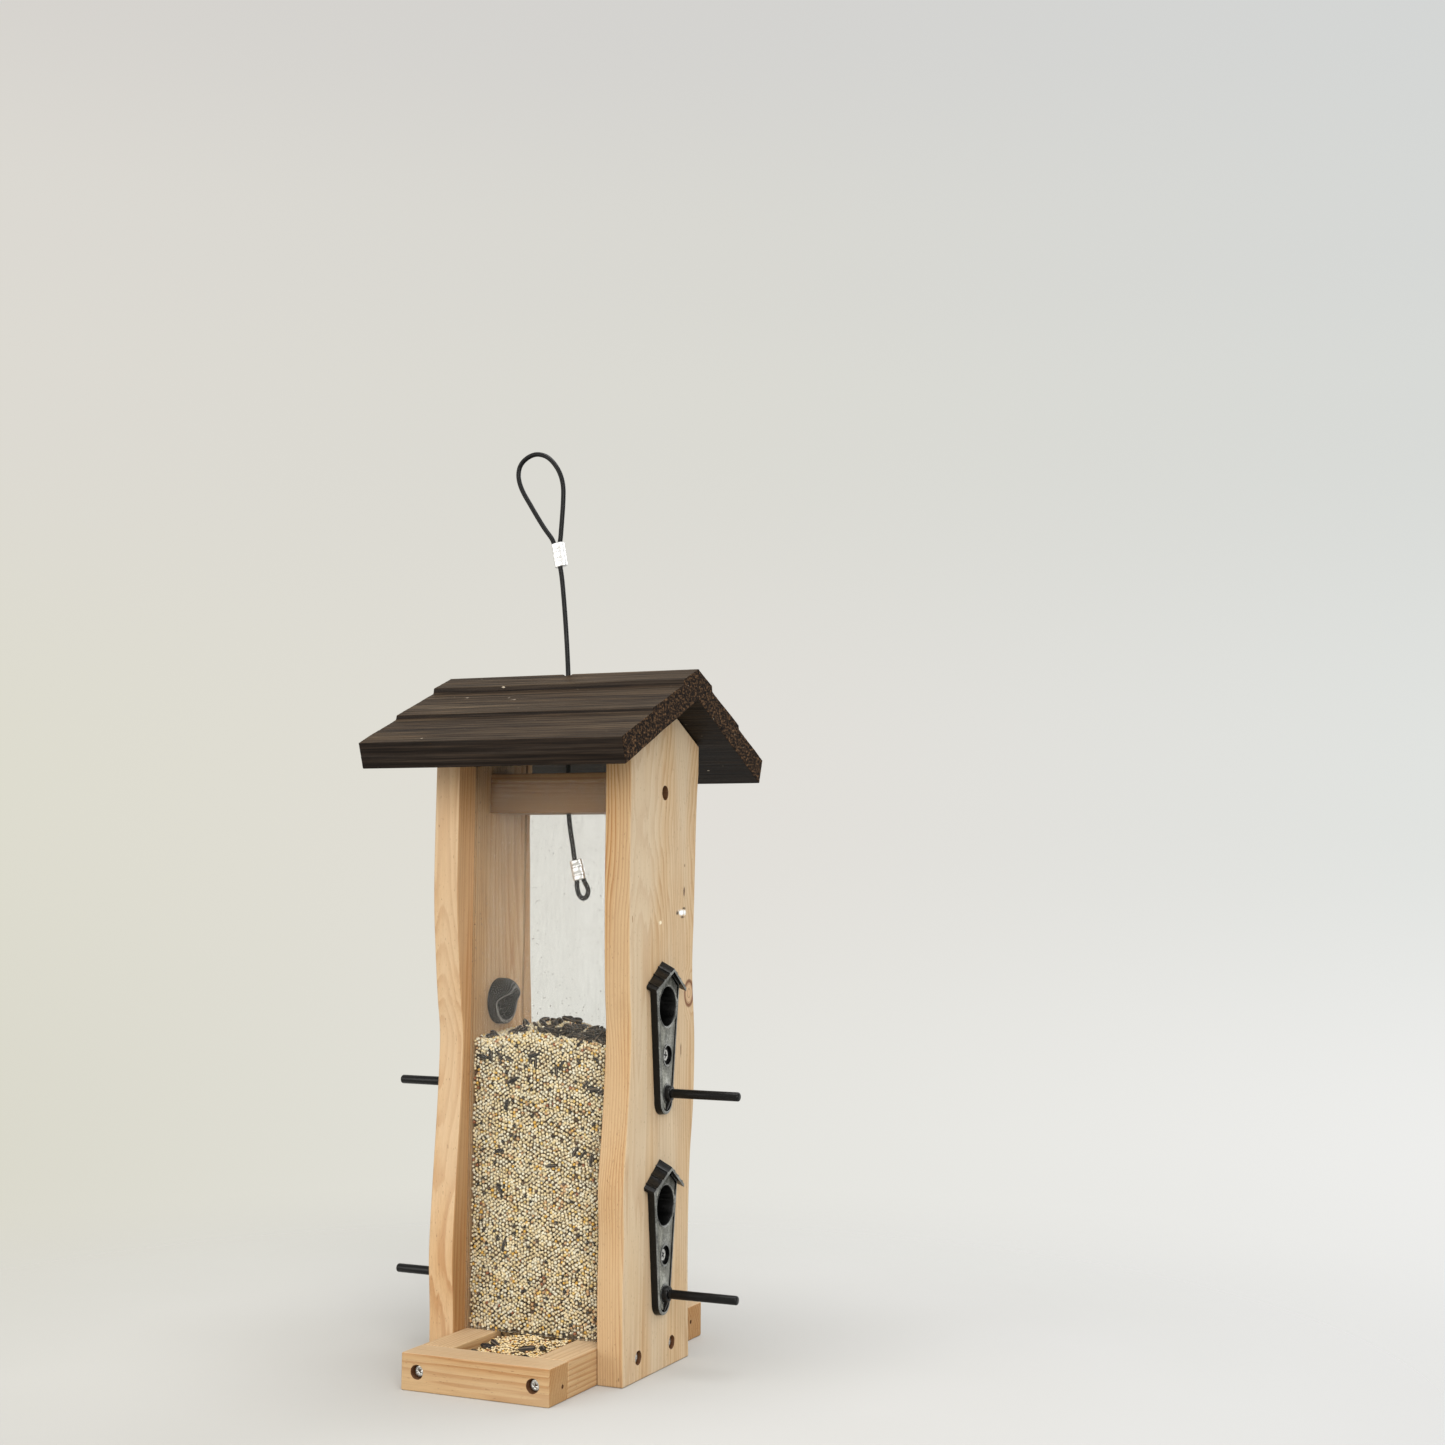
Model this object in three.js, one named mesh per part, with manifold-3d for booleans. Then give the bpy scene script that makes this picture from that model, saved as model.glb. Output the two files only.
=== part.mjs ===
// Hanging silo bird feeder: two side boards, a tray base, four feeding ports, two clear panes
// and a gable roof threaded on a steel cable. Millimetres, +Z up, front tray towards -Y.
// The origin is on the ground under the middle of the feeder.
import * as THREE from "three";
import { mergeVertices } from "three/addons/utils/BufferGeometryUtils.js";
import Module from "manifold-3d";

// Driving dimensions -----------------------------------------------------------------------------
const FIT_GAP = 0.3; // clearance kept between pieces that touch

const BOARD_THICKNESS = 17; // side boards, about 91 deep with wavy front and back edges
const INNER_WIDTH = 96; // between the side boards

const ROOF_LENGTH = 175; // along the ridge
const ROOF_HALF_DEPTH = 103.5; // ridge to eave, top corner
const RIDGE_HEIGHT = 420;
const UNDERSIDE_APEX = 401; // underside of the roof at the ridge
const EAVE_UNDERSIDE = [98, 355.5]; // distance from the ridge plane, height
const EAVE_TOP = [ROOF_HALF_DEPTH, 371];
const COURSE_STEPS = [ // milled shingle steps: distance from ridge plane, height above, height below
  [19.5, 412.3, 408.8],
  [63.6, 390.9, 388.4],
];
const STEP_UNDERCUT = 0.4; // each step leans back under its course
const ROOF_HOLE_X = -2.4;
const ROOF_HOLE_RADIUS = 3.5;

const TRAY_HALF_DEPTH = 102.5; // front face of the front tray rail
const TRAY_RAIL_DEPTH = 22;
const RAIL_WIDTH = 21;
const RAIL_HEIGHT = 21.2;
const FLOOR_THICKNESS = 9;
const FLOOR_BOTTOM = 1;

const BEAM_DEPTH = 30;
const BEAM_BOTTOM = 332.5;
const BEAM_TOP = 357;
const BEAM_HOLE_X = -0.4;
const BEAM_HOLE_RADIUS = 3.9; // the lower ferrule is wider, so it can't pass

const PANE_THICKNESS = 2.2;
const PANE_PLANE = 31.5; // middle of each pane, from the middle of the feeder
const PANE_TOP = 377;
const GROOVE_WIDTH = 2.8;
const GROOVE_DEPTH = 4;
const GROOVE_TOP = 420; // the grooves run out through the tops of the boards

const PORT_HEIGHTS = { upper: 215.8, lower: 97.8 }; // hole centres
const PORT_HOLE_RADIUS = 11.6;
const SLEEVE_RADIUS = 12.9;
const PLATE_THICKNESS = 4.8;
const PLATE_SCREW_DROP = 29.1; // below the hole centre
const PERCH_DROP = 51.7; // below the hole centre
const PERCH_RADIUS = 2.8;
const PERCH_REACH = 52; // beyond the board
const PERCH_SOCKET_DEPTH = 3.2; // into the plate
const PERCH_CHAMFER = 0.8;
const COLLAR = { radius: 4.6, height: 3 };
const PLATE_RECESS_RADIUS = 5.6; // round the plate's screw
const PLATE_SHOULDER = [16.2, 13.2]; // from the hole centre: sideways, up
const PLATE_APEX = 24.4;
const PLATE_FOOT = { radius: 8.2, drop: 56.2 };
const MINI_ROOF = { halfWidth: 21.5, apex: 27, eave: 12.2, thickness: 2.9, reach: 8.6, fall: 0.5 };
const HOOD_RADIUS = 14.2;
const HOOD_RING_DEPTH = 6; // lower half of the hood
const HOOD_REACH = 16; // visor
const HOOD_SLOT_HEIGHTS = [-2, 9]; // the visor's lower edge rises from the first to the second

const CABLE_RADIUS = 1.5;
const FERRULE_SIZE = [8.4, 5.2]; // oval section

const SEED_FRONT_TOP = 195; // height of the seed against the front pane
const SEED_BACK_TOP = 203;
const TRAY_SEED_TOP = 13; // seed against the tray rails

const ROUND = 24; // sides of large round shapes
const ROD_ROUND = 16; // sides of perches and collars
const SMALL_ROUND = 12; // sides of screws and nails
const CABLE_ROUND = 8; // sides of the cable
const FOOT_ROUND = 6; // sides of a port plate's round foot
const MARGIN = 1; // how far a cutting shape runs past what it cuts

const INNER_FACE = INNER_WIDTH / 2;
const OUTER_FACE = INNER_FACE + BOARD_THICKNESS;
const ROOF_SLOPE = (UNDERSIDE_APEX - EAVE_UNDERSIDE[1]) / EAVE_UNDERSIDE[0];
const RAIL_END = TRAY_HALF_DEPTH - TRAY_RAIL_DEPTH;
const FLOOR_TOP = FLOOR_BOTTOM + FLOOR_THICKNESS;

// Fasteners. sink is the head's depth below the surface, bore the radius of the hole above it -------
const WOOD_SCREW = { head: 3.1, shank: 1.5, headDepth: 2.4, sink: 1.2, bore: 3.9 };
const BOARD_SCREW = { ...WOOD_SCREW, length: 34 };
const BEAM_SCREW = { ...WOOD_SCREW, length: 34, sink: 5, bore: 4.2 };
const RAIL_SCREW = { ...WOOD_SCREW, length: 45 };
const PORT_SCREW = { head: 4.1, shank: 1.6, headDepth: 1.8, sink: 0, bore: 4.4, length: 15 };
const NAIL = { head: 1.5, shank: 0.8, headDepth: 1, sink: 0.2, bore: 1.8, length: 28 };
const BOARD_SCREW_Y = { front: -25.5, back: 20.5 };
const BOARD_SCREW_Z = 13.4;
const BEAM_SCREW_Y = 2;
const BEAM_SCREW_Z = 344.8;
const RAIL_SCREW_X = 37.5;
const RAIL_SCREW_Z = 10.9;
const FLOOR_NAIL_Y = 49.5;
const FLOOR_NAIL_Z = 5.2;
const RIDGE_NAIL = { x: 55, y: 12, z: 415.3, direction: [0, -0.94, -0.34] };

// Materials --------------------------------------------------------------------------------------
const finish = (color, roughness, metalness = 0) =>
  new THREE.MeshStandardMaterial({ color, roughness, metalness });
const PINE = finish(0xd2a878, 0.7);
const STAINED = finish(0x453d38, 0.6);
const PLASTIC = finish(0x1f2122, 0.45);
const ACRYLIC = finish(0xdfe5e6, 0.1);
const STEEL = finish(0xb9bbbd, 0.35, 1);
const FERRULE = finish(0xcfd0d2, 0.35, 1);
const CABLE = finish(0x141415, 0.5);
const SEED = finish(0xd9c08c, 0.85);

// Solids -----------------------------------------------------------------------------------------
const wasm = await Module();
wasm.setup();

function toSolid(geometry) {
  const bare = geometry.clone();
  bare.deleteAttribute("normal");
  bare.deleteAttribute("uv");
  const merged = mergeVertices(bare, 1e-4);
  const vertProperties = new Float32Array(merged.attributes.position.array);
  const triVerts = new Uint32Array(merged.index.array);
  return new wasm.Manifold(new wasm.Mesh({ numProp: 3, vertProperties, triVerts }));
}

function toGeometry(solid) {
  const mesh = solid.getMesh();
  const geometry = new THREE.BufferGeometry();
  geometry.setAttribute("position", new THREE.BufferAttribute(new Float32Array(mesh.vertProperties), 3));
  geometry.setIndex(new THREE.BufferAttribute(new Uint32Array(mesh.triVerts), 1));
  geometry.computeVertexNormals();
  return geometry;
}

function cut(geometry, ...tools) {
  const solid = tools.reduce((left, tool) => left.subtract(toSolid(tool)), toSolid(geometry));
  return toGeometry(solid);
}

function join(...geometries) {
  const [first, ...rest] = geometries.map(toSolid);
  return toGeometry(rest.reduce((sum, next) => sum.add(next), first));
}

function block([x0, x1], [y0, y1], [z0, z1]) {
  const box = new THREE.BoxGeometry(x1 - x0, y1 - y0, z1 - z0);
  return box.translate((x0 + x1) / 2, (y0 + y1) / 2, (z0 + z1) / 2);
}

// A profile drawn in the Y-Z plane, extruded along X from x0 to x1.
function prismAlongX(shape, x0, x1, curveSegments = ROUND) {
  const prism = new THREE.ExtrudeGeometry(shape, { depth: x1 - x0, bevelEnabled: false, curveSegments });
  const basis = new THREE.Matrix4().makeBasis(
    new THREE.Vector3(0, 1, 0),
    new THREE.Vector3(0, 0, 1),
    new THREE.Vector3(1, 0, 0),
  );
  return prism.applyMatrix4(basis).translate(x0, 0, 0);
}

const ordered = (a, b) => [Math.min(a, b), Math.max(a, b)];

function polygon(points) {
  return new THREE.Shape(points.map(([x, y]) => new THREE.Vector2(x, y)));
}

function rodAlongX(radius, x0, x1, y, z, sides = ROUND) {
  const rod = new THREE.CylinderGeometry(radius, radius, x1 - x0, sides);
  return rod.rotateZ(Math.PI / 2).translate((x0 + x1) / 2, y, z);
}

function rodAlongZ(radius, z0, z1, x, y, sides = ROUND) {
  const rod = new THREE.CylinderGeometry(radius, radius, z1 - z0, sides);
  return rod.rotateX(Math.PI / 2).translate(x, y, (z0 + z1) / 2);
}

// Fasteners: lathes about their own axis, turned to point into the wood ----------------------------
const HEAD_RIM = 0.25; // share of the head's depth that is its straight rim

function turned(profile, { at, direction }) {
  const points = profile.map(([radius, depth]) => new THREE.Vector2(radius, depth));
  const turn = new THREE.Quaternion().setFromUnitVectors(
    new THREE.Vector3(0, 1, 0),
    new THREE.Vector3(...direction).normalize(),
  );
  return new THREE.LatheGeometry(points, SMALL_ROUND).applyQuaternion(turn).translate(...at);
}

function fastenerBody(fastener) {
  const { head, shank, headDepth, sink, length } = fastener.size;
  return turned([
    [0, sink],
    [head, sink],
    [head, sink + headDepth * HEAD_RIM],
    [shank, sink + headDepth],
    [shank, sink + length - shank],
    [0, sink + length],
  ], fastener);
}

function fastenerHole(fastener) {
  const { shank, headDepth, sink, bore, length } = fastener.size;
  const shaft = shank + FIT_GAP;
  return turned([
    [0, -MARGIN],
    [bore, -MARGIN],
    [bore, sink + headDepth * HEAD_RIM],
    [shaft, sink + headDepth + FIT_GAP],
    [shaft, sink + length - shank + FIT_GAP],
    [0, sink + length + FIT_GAP],
  ], fastener);
}

// Every screw and nail: name, size, the point on the surface and the direction into the wood.
const fasteners = [];
for (const [side, sign] of [["left", -1], ["right", 1]]) {
  const inward = [-sign, 0, 0];
  for (const [end, y] of Object.entries(BOARD_SCREW_Y)) {
    const at = [sign * OUTER_FACE, y, BOARD_SCREW_Z];
    fasteners.push({ name: `board_screw_${side}_${end}`, size: BOARD_SCREW, at, direction: inward });
  }
  for (const [end, way] of [["front", -1], ["back", 1]]) {
    const railAt = [sign * RAIL_SCREW_X, way * TRAY_HALF_DEPTH, RAIL_SCREW_Z];
    const alongRail = [0, -way, 0];
    fasteners.push({ name: `rail_screw_${end}_${side}`, size: RAIL_SCREW, at: railAt, direction: alongRail });
    const nailAt = [sign * INNER_FACE, way * FLOOR_NAIL_Y, FLOOR_NAIL_Z];
    fasteners.push({ name: `floor_nail_${side}_${end}`, size: NAIL, at: nailAt, direction: inward });
  }
  for (const [level, height] of Object.entries(PORT_HEIGHTS)) {
    const at = [sign * (OUTER_FACE + PORT_SCREW.headDepth), 0, height - PLATE_SCREW_DROP];
    fasteners.push({ name: `port_screw_${side}_${level}`, size: PORT_SCREW, at, direction: inward });
  }
  const beamAt = [sign * OUTER_FACE, BEAM_SCREW_Y, BEAM_SCREW_Z];
  fasteners.push({ name: `beam_screw_${side}`, size: BEAM_SCREW, at: beamAt, direction: inward });
  const { x, y, z, direction } = RIDGE_NAIL;
  fasteners.push({ name: `ridge_nail_${side}`, size: NAIL, at: [sign * x, y, z], direction });
}

function holesFor(prefixes) {
  return fasteners
    .filter(({ name }) => prefixes.some((prefix) => name.startsWith(prefix)))
    .map(fastenerHole);
}

// Roof: each panel is one board with three milled courses, mitred at the ridge ---------------------
const undersideHeight = (distance) => UNDERSIDE_APEX - ROOF_SLOPE * distance;

function roofPanel(way) {
  const seam = FIT_GAP / 2;
  const [first, second] = COURSE_STEPS;
  const profile = [
    [seam, undersideHeight(seam)],
    EAVE_UNDERSIDE,
    EAVE_TOP,
    [second[0], second[2]],
    [second[0] - STEP_UNDERCUT, second[1]],
    [first[0] + STEP_UNDERCUT, first[2]],
    [first[0], first[1]],
    [seam, RIDGE_HEIGHT],
  ];
  const outline = polygon(profile.map(([distance, height]) => [way * distance, height]));
  const board = prismAlongX(outline, -ROOF_LENGTH / 2, ROOF_LENGTH / 2);
  const cableHole = rodAlongZ(ROOF_HOLE_RADIUS, UNDERSIDE_APEX - 20, RIDGE_HEIGHT + 20, ROOF_HOLE_X, 0);
  return cut(board, cableHole, ...holesFor(["ridge_nail"]));
}

// Side boards --------------------------------------------------------------------------------------
// Wavy edges: [y, z] from the bottom up.
const EDGES = {
  left: {
    front: [[-45.5, 0], [-46.4, 36], [-48.4, 68], [-45.6, 115], [-42.6, 155], [-41.2, 195], [-44.5, 217],
      [-47.4, 238], [-51.4, 278], [-51.8, 320], [-51.4, 358]],
    back: [[45.5, 0], [44, 60], [46.5, 120], [46, 175], [43.2, 214], [40.8, 246], [38.8, 298],
      [37.4, 330], [39, 360]],
  },
  right: {
    front: [[-45.3, 0], [-47, 50], [-46.4, 85], [-48, 114], [-43.6, 152], [-40.4, 200], [-43, 230],
      [-44.8, 280], [-45.2, 338], [-45.2, 360]],
    back: [[46, 0], [43.4, 59], [44.6, 117], [49.2, 155], [49.8, 195], [45.6, 235], [47.2, 275],
      [49.2, 334], [51.6, 360]],
  },
};
const EDGE_DIVISIONS = 22;

function smoothEdge(points) {
  const curve = new THREE.SplineCurve(points.map(([y, z]) => new THREE.Vector2(y, z)));
  return curve.getPoints(EDGE_DIVISIONS).map(({ x, y }) => [x, y]);
}

function boardOutline(edges) {
  const front = smoothEdge(edges.front);
  const back = smoothEdge(edges.back).reverse();
  const shoulder = ([y]) => [y, undersideHeight(Math.abs(y)) - FIT_GAP];
  return polygon([
    ...front,
    shoulder(front[front.length - 1]),
    [0, UNDERSIDE_APEX - FIT_GAP],
    shoulder(back[0]),
    ...back,
  ]);
}

function sideBoard(side, sign) {
  const [x0, x1] = sign > 0 ? [INNER_FACE, OUTER_FACE] : [-OUTER_FACE, -INNER_FACE];
  const board = prismAlongX(boardOutline(EDGES[side]), x0, x1);
  const grooveSpan = ordered(sign * (INNER_FACE + GROOVE_DEPTH), sign * (INNER_FACE - MARGIN));
  const grooves = [-1, 1].map((way) => {
    const front = way * PANE_PLANE - GROOVE_WIDTH / 2;
    return block(grooveSpan, [front, front + GROOVE_WIDTH], [RAIL_HEIGHT - FIT_GAP, GROOVE_TOP]);
  });
  const bores = Object.values(PORT_HEIGHTS).map((height) =>
    rodAlongX(SLEEVE_RADIUS + FIT_GAP, x0 - MARGIN, x1 + MARGIN, 0, height));
  const names = [`board_screw_${side}`, `beam_screw_${side}`, `port_screw_${side}`];
  return cut(board, ...grooves, ...bores, ...holesFor(names));
}

// Base -----------------------------------------------------------------------------------------------
function baseRail(side, sign) {
  const width = ordered(sign * (INNER_FACE - RAIL_WIDTH), sign * INNER_FACE);
  const rail = block(width, [-RAIL_END, RAIL_END], [0, RAIL_HEIGHT]);
  const screws = holesFor([
    `board_screw_${side}`, `rail_screw_front_${side}`, `rail_screw_back_${side}`, `floor_nail_${side}`,
  ]);
  return cut(rail, ...screws);
}

function trayRail(end, way) {
  const depth = ordered(way * RAIL_END, way * TRAY_HALF_DEPTH);
  const rail = block([-INNER_FACE, INNER_FACE], depth, [0, RAIL_HEIGHT]);
  return cut(rail, ...holesFor([`rail_screw_${end}`]));
}

function floorBoard() {
  const half = INNER_FACE - RAIL_WIDTH - FIT_GAP;
  const reach = RAIL_END - FIT_GAP;
  const board = block([-half, half], [-reach, reach], [FLOOR_BOTTOM, FLOOR_TOP]);
  return cut(board, ...holesFor(["floor_nail"]));
}

function crossBeam() {
  const beam = block([-INNER_FACE, INNER_FACE], [-BEAM_DEPTH / 2, BEAM_DEPTH / 2], [BEAM_BOTTOM, BEAM_TOP]);
  const cableHole = rodAlongZ(BEAM_HOLE_RADIUS, BEAM_BOTTOM - MARGIN, BEAM_TOP + MARGIN, BEAM_HOLE_X, 0);
  return cut(beam, cableHole, ...holesFor(["beam_screw"]));
}

function pane() {
  const halfWidth = INNER_FACE + GROOVE_DEPTH - FIT_GAP;
  const halfThickness = PANE_THICKNESS / 2;
  const heights = [RAIL_HEIGHT + FIT_GAP, PANE_TOP];
  return block([-halfWidth, halfWidth], [-halfThickness, halfThickness], heights);
}

// Feeding port: built for the right-hand board with the hole centre at the origin of Y-Z ------------
function plateOutline() {
  const shape = new THREE.Shape();
  shape.moveTo(PLATE_FOOT.radius, -PLATE_FOOT.drop);
  shape.lineTo(PLATE_SHOULDER[0], PLATE_SHOULDER[1]);
  shape.lineTo(0, PLATE_APEX);
  shape.lineTo(-PLATE_SHOULDER[0], PLATE_SHOULDER[1]);
  shape.lineTo(-PLATE_FOOT.radius, -PLATE_FOOT.drop);
  shape.absarc(0, -PLATE_FOOT.drop, PLATE_FOOT.radius, Math.PI, 2 * Math.PI);
  return shape;
}

// The small gable roof over the hole, falling as it reaches out.
function miniRoof(x0) {
  const { halfWidth, apex, eave, thickness, reach, fall } = MINI_ROOF;
  const chevron = polygon([
    [0, apex],
    [-halfWidth, eave],
    [-halfWidth, eave - thickness],
    [0, apex - thickness],
    [halfWidth, eave - thickness],
    [halfWidth, eave],
  ]);
  return prismAlongX(chevron, 0, reach).applyMatrix4(shearZByX(-fall)).translate(x0, 0, 0);
}

function shearZByX(rate) {
  return new THREE.Matrix4().set(1, 0, 0, 0, 0, 1, 0, 0, rate, 0, 1, 0, 0, 0, 0, 1);
}

function portPlate() {
  const face = OUTER_FACE + PLATE_THICKNESS;
  const base = OUTER_FACE + FIT_GAP / 2;
  const screwSeat = OUTER_FACE + PORT_SCREW.headDepth;
  const screw = { size: PORT_SCREW, at: [screwSeat, 0, -PLATE_SCREW_DROP], direction: [-1, 0, 0] };
  const socket = face - PERCH_SOCKET_DEPTH;
  const collarTop = face + COLLAR.height;
  const body = join(
    prismAlongX(plateOutline(), base, face, FOOT_ROUND),
    miniRoof(base),
    rodAlongX(SLEEVE_RADIUS, INNER_FACE + MARGIN, face - MARGIN, 0, 0),
    rodAlongX(COLLAR.radius, face - MARGIN, collarTop, 0, -PERCH_DROP, ROD_ROUND),
  );
  return cut(
    body,
    rodAlongX(PORT_HOLE_RADIUS, INNER_FACE - MARGIN, face + MINI_ROOF.reach, 0, 0),
    rodAlongX(PLATE_RECESS_RADIUS, screwSeat, face + MARGIN, 0, -PLATE_SCREW_DROP, ROD_ROUND),
    fastenerHole(screw),
    rodAlongX(PERCH_RADIUS + FIT_GAP, socket, collarTop + MARGIN, 0, -PERCH_DROP, ROD_ROUND),
  );
}

function perch() {
  const root = OUTER_FACE + PLATE_THICKNESS - PERCH_SOCKET_DEPTH + FIT_GAP;
  const tip = OUTER_FACE + PERCH_REACH;
  const profile = [
    [0, root],
    [PERCH_RADIUS, root],
    [PERCH_RADIUS, tip - PERCH_CHAMFER],
    [PERCH_RADIUS - PERCH_CHAMFER, tip],
    [0, tip],
  ].map(([radius, x]) => new THREE.Vector2(radius, x));
  return new THREE.LatheGeometry(profile, ROD_ROUND).rotateZ(-Math.PI / 2).translate(0, 0, -PERCH_DROP);
}

// Inner hood: a short tube whose upper half reaches further, so that seed can't spill out.
function hood() {
  const root = INNER_FACE - FIT_GAP;
  const tip = root - HOOD_REACH;
  const ring = root - HOOD_RING_DEPTH;
  const [low, high] = HOOD_SLOT_HEIGHTS;
  const floor = -HOOD_RADIUS - MARGIN;
  const halfWidth = HOOD_RADIUS + MARGIN;
  const outline = polygon([[tip - MARGIN, high], [tip - MARGIN, floor], [ring, floor], [ring, low]]);
  const below = new THREE.ExtrudeGeometry(outline, { depth: 2 * halfWidth, bevelEnabled: false });
  return cut(
    rodAlongX(HOOD_RADIUS, tip, root, 0, 0),
    rodAlongX(PORT_HOLE_RADIUS, tip - MARGIN, root + MARGIN, 0, 0),
    below.rotateX(Math.PI / 2).translate(0, halfWidth, 0),
  );
}

// Cable ----------------------------------------------------------------------------------------------
// Points are [x, z] in the plane of the ridge, from the lower end up.
const CABLE_ROUTE = [
  [4.3, 304.1], [2.9, 313], [0.9, 323], [-0.4, 333], [-0.9, 345], [-1.1, 357], [-1.4, 380], [-1.6, 401],
  [-2.2, 420], [-3.6, 440], [-5.6, 462], [-8.6, 487.9],
];
const UPPER_LOOP = [
  [-14.2, 504.6], [-16.8, 508.3], [-20.7, 513], [-26.5, 521.5], [-31.8, 529.8], [-37.5, 538.5],
  [-40.6, 546.5], [-40.5, 552.8], [-38.4, 557], [-34.7, 559.9], [-30.8, 561.5], [-26.7, 561.9],
  [-21, 560.3], [-16.5, 556.8], [-12.6, 552], [-9.9, 546.9], [-8.3, 541.5], [-7.8, 536],
  [-8, 527], [-8.6, 517.5], [-9.1, 510], [-9.5, 504.6],
];
const LOWER_LOOP = [
  [6.3, 289.8], [6.3, 287.4], [6.9, 284.4], [8.3, 281.4], [10.8, 279.8], [13.3, 281.1], [14.4, 284.3],
  [13.4, 287.6], [11.1, 290.7],
];
const FERRULES = {
  upper: { bottom: [-8.5, 488.2], top: [-11.4, 503.4] },
  lower: { bottom: [8.4, 291.4], top: [5.4, 303.8] },
};

function tube(points, steps) {
  const path = new THREE.CatmullRomCurve3(points.map(([x, z]) => new THREE.Vector3(x, 0, z)));
  const section = new THREE.Shape();
  section.absarc(0, 0, CABLE_RADIUS, 0, 2 * Math.PI);
  return new THREE.ExtrudeGeometry(section, { extrudePath: path, steps, curveSegments: CABLE_ROUND / 2 });
}

function ferrule({ bottom, top }) {
  const [across, up] = [top[0] - bottom[0], top[1] - bottom[1]];
  const [wide, deep] = FERRULE_SIZE;
  const section = new THREE.Shape();
  section.absellipse(0, 0, wide / 2, deep / 2, 0, 2 * Math.PI);
  const options = { depth: Math.hypot(across, up), bevelEnabled: false, curveSegments: ROUND / 2 };
  const sleeve = new THREE.ExtrudeGeometry(section, options);
  return sleeve.rotateY(Math.atan2(across, up)).translate(bottom[0], 0, bottom[1]);
}

// Seed: the fill between the panes, running under them into both trays -------------------------------
function seedFill() {
  const inside = PANE_PLANE - PANE_THICKNESS / 2 - FIT_GAP;
  const hopper = prismAlongX(polygon([
    [-inside, RAIL_HEIGHT + FIT_GAP],
    [inside, RAIL_HEIGHT + FIT_GAP],
    [inside, SEED_BACK_TOP],
    [-inside, SEED_FRONT_TOP],
  ]), -INNER_FACE + FIT_GAP, INNER_FACE - FIT_GAP);
  const floor = FLOOR_TOP + FIT_GAP;
  const reach = RAIL_END - FIT_GAP;
  const mouth = PANE_PLANE + 2; // where the heap starts to fall, just outside a pane
  const throatTop = RAIL_HEIGHT - FIT_GAP;
  const channelHalf = INNER_FACE - RAIL_WIDTH - FIT_GAP;
  const channel = prismAlongX(polygon([
    [-reach, floor],
    [reach, floor],
    [reach, TRAY_SEED_TOP],
    [mouth, throatTop],
    [inside, throatTop],
    [inside, RAIL_HEIGHT + 5],
    [-inside, RAIL_HEIGHT + 5],
    [-inside, throatTop],
    [-mouth, throatTop],
    [-reach, TRAY_SEED_TOP],
  ]), -channelHalf, channelHalf);
  const pockets = [];
  for (const sign of [-1, 1]) {
    for (const height of Object.values(PORT_HEIGHTS)) {
      const span = ordered(sign * (INNER_FACE - HOOD_REACH - 2 * FIT_GAP), sign * (INNER_FACE + MARGIN));
      pockets.push(rodAlongX(HOOD_RADIUS + FIT_GAP, ...span, 0, height));
    }
  }
  return cut(join(hopper, channel), ...pockets);
}

// Assembly -------------------------------------------------------------------------------------------
const feeder = new THREE.Group();

function place(name, geometry, material, parent = feeder) {
  const mesh = new THREE.Mesh(geometry, material);
  mesh.name = name;
  parent.add(mesh);
  return mesh;
}

for (const [side, sign] of [["left", -1], ["right", 1]]) {
  place(`side_board_${side}`, sideBoard(side, sign), PINE);
  place(`base_rail_${side}`, baseRail(side, sign), PINE);
  for (const [level, height] of Object.entries(PORT_HEIGHTS)) {
    const port = new THREE.Group();
    port.position.z = height;
    port.rotation.z = sign > 0 ? 0 : Math.PI;
    feeder.add(port);
    place(`port_plate_${side}_${level}`, portPlate(), PLASTIC, port);
    place(`perch_${side}_${level}`, perch(), PLASTIC, port);
    place(`port_hood_${side}_${level}`, hood(), PLASTIC, port);
  }
}
for (const [end, way] of [["front", -1], ["back", 1]]) {
  place(`tray_rail_${end}`, trayRail(end, way), PINE);
  place(`${end}_pane`, pane(), ACRYLIC).position.y = way * PANE_PLANE;
  place(`roof_panel_${end}`, roofPanel(way), STAINED);
}
place("floor_board", floorBoard(), PINE);
place("cross_beam", crossBeam(), PINE);
place("seed_fill", seedFill(), SEED);
for (const fastener of fasteners) {
  place(fastener.name, fastenerBody(fastener), STEEL);
}
place("cable", tube(CABLE_ROUTE, 26), CABLE);
place("cable_upper_loop", tube(UPPER_LOOP, 30), CABLE);
place("cable_lower_loop", tube(LOWER_LOOP, 16), CABLE);
place("ferrule_upper", ferrule(FERRULES.upper), FERRULE);
place("ferrule_lower", ferrule(FERRULES.lower), FERRULE);

export default feeder;
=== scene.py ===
"""Hanging silo bird feeder: the looks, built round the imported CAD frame.

Shapes are drawn in millimetres, in the CAD's own frame, and scaled to metres when a mesh is made.
Lengths inside materials are millimetres too, because their coordinates are scaled first.
"""

import math

import bmesh
import bpy
import numpy as np
from mathutils import Matrix, Quaternion, Vector, noise


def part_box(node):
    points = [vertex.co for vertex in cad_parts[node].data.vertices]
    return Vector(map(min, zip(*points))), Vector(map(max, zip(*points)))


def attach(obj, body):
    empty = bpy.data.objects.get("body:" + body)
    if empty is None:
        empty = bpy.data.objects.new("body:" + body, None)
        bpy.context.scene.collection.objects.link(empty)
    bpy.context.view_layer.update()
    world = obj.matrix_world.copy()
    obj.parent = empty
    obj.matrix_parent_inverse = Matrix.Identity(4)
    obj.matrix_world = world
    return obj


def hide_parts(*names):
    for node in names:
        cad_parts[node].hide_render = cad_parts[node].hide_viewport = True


MM = 0.001
TURN = 2 * math.pi
SIDES = {"left": -1, "right": 1}
ENDS = {"front": -1, "back": 1}
LEVELS = ("lower", "upper")

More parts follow.
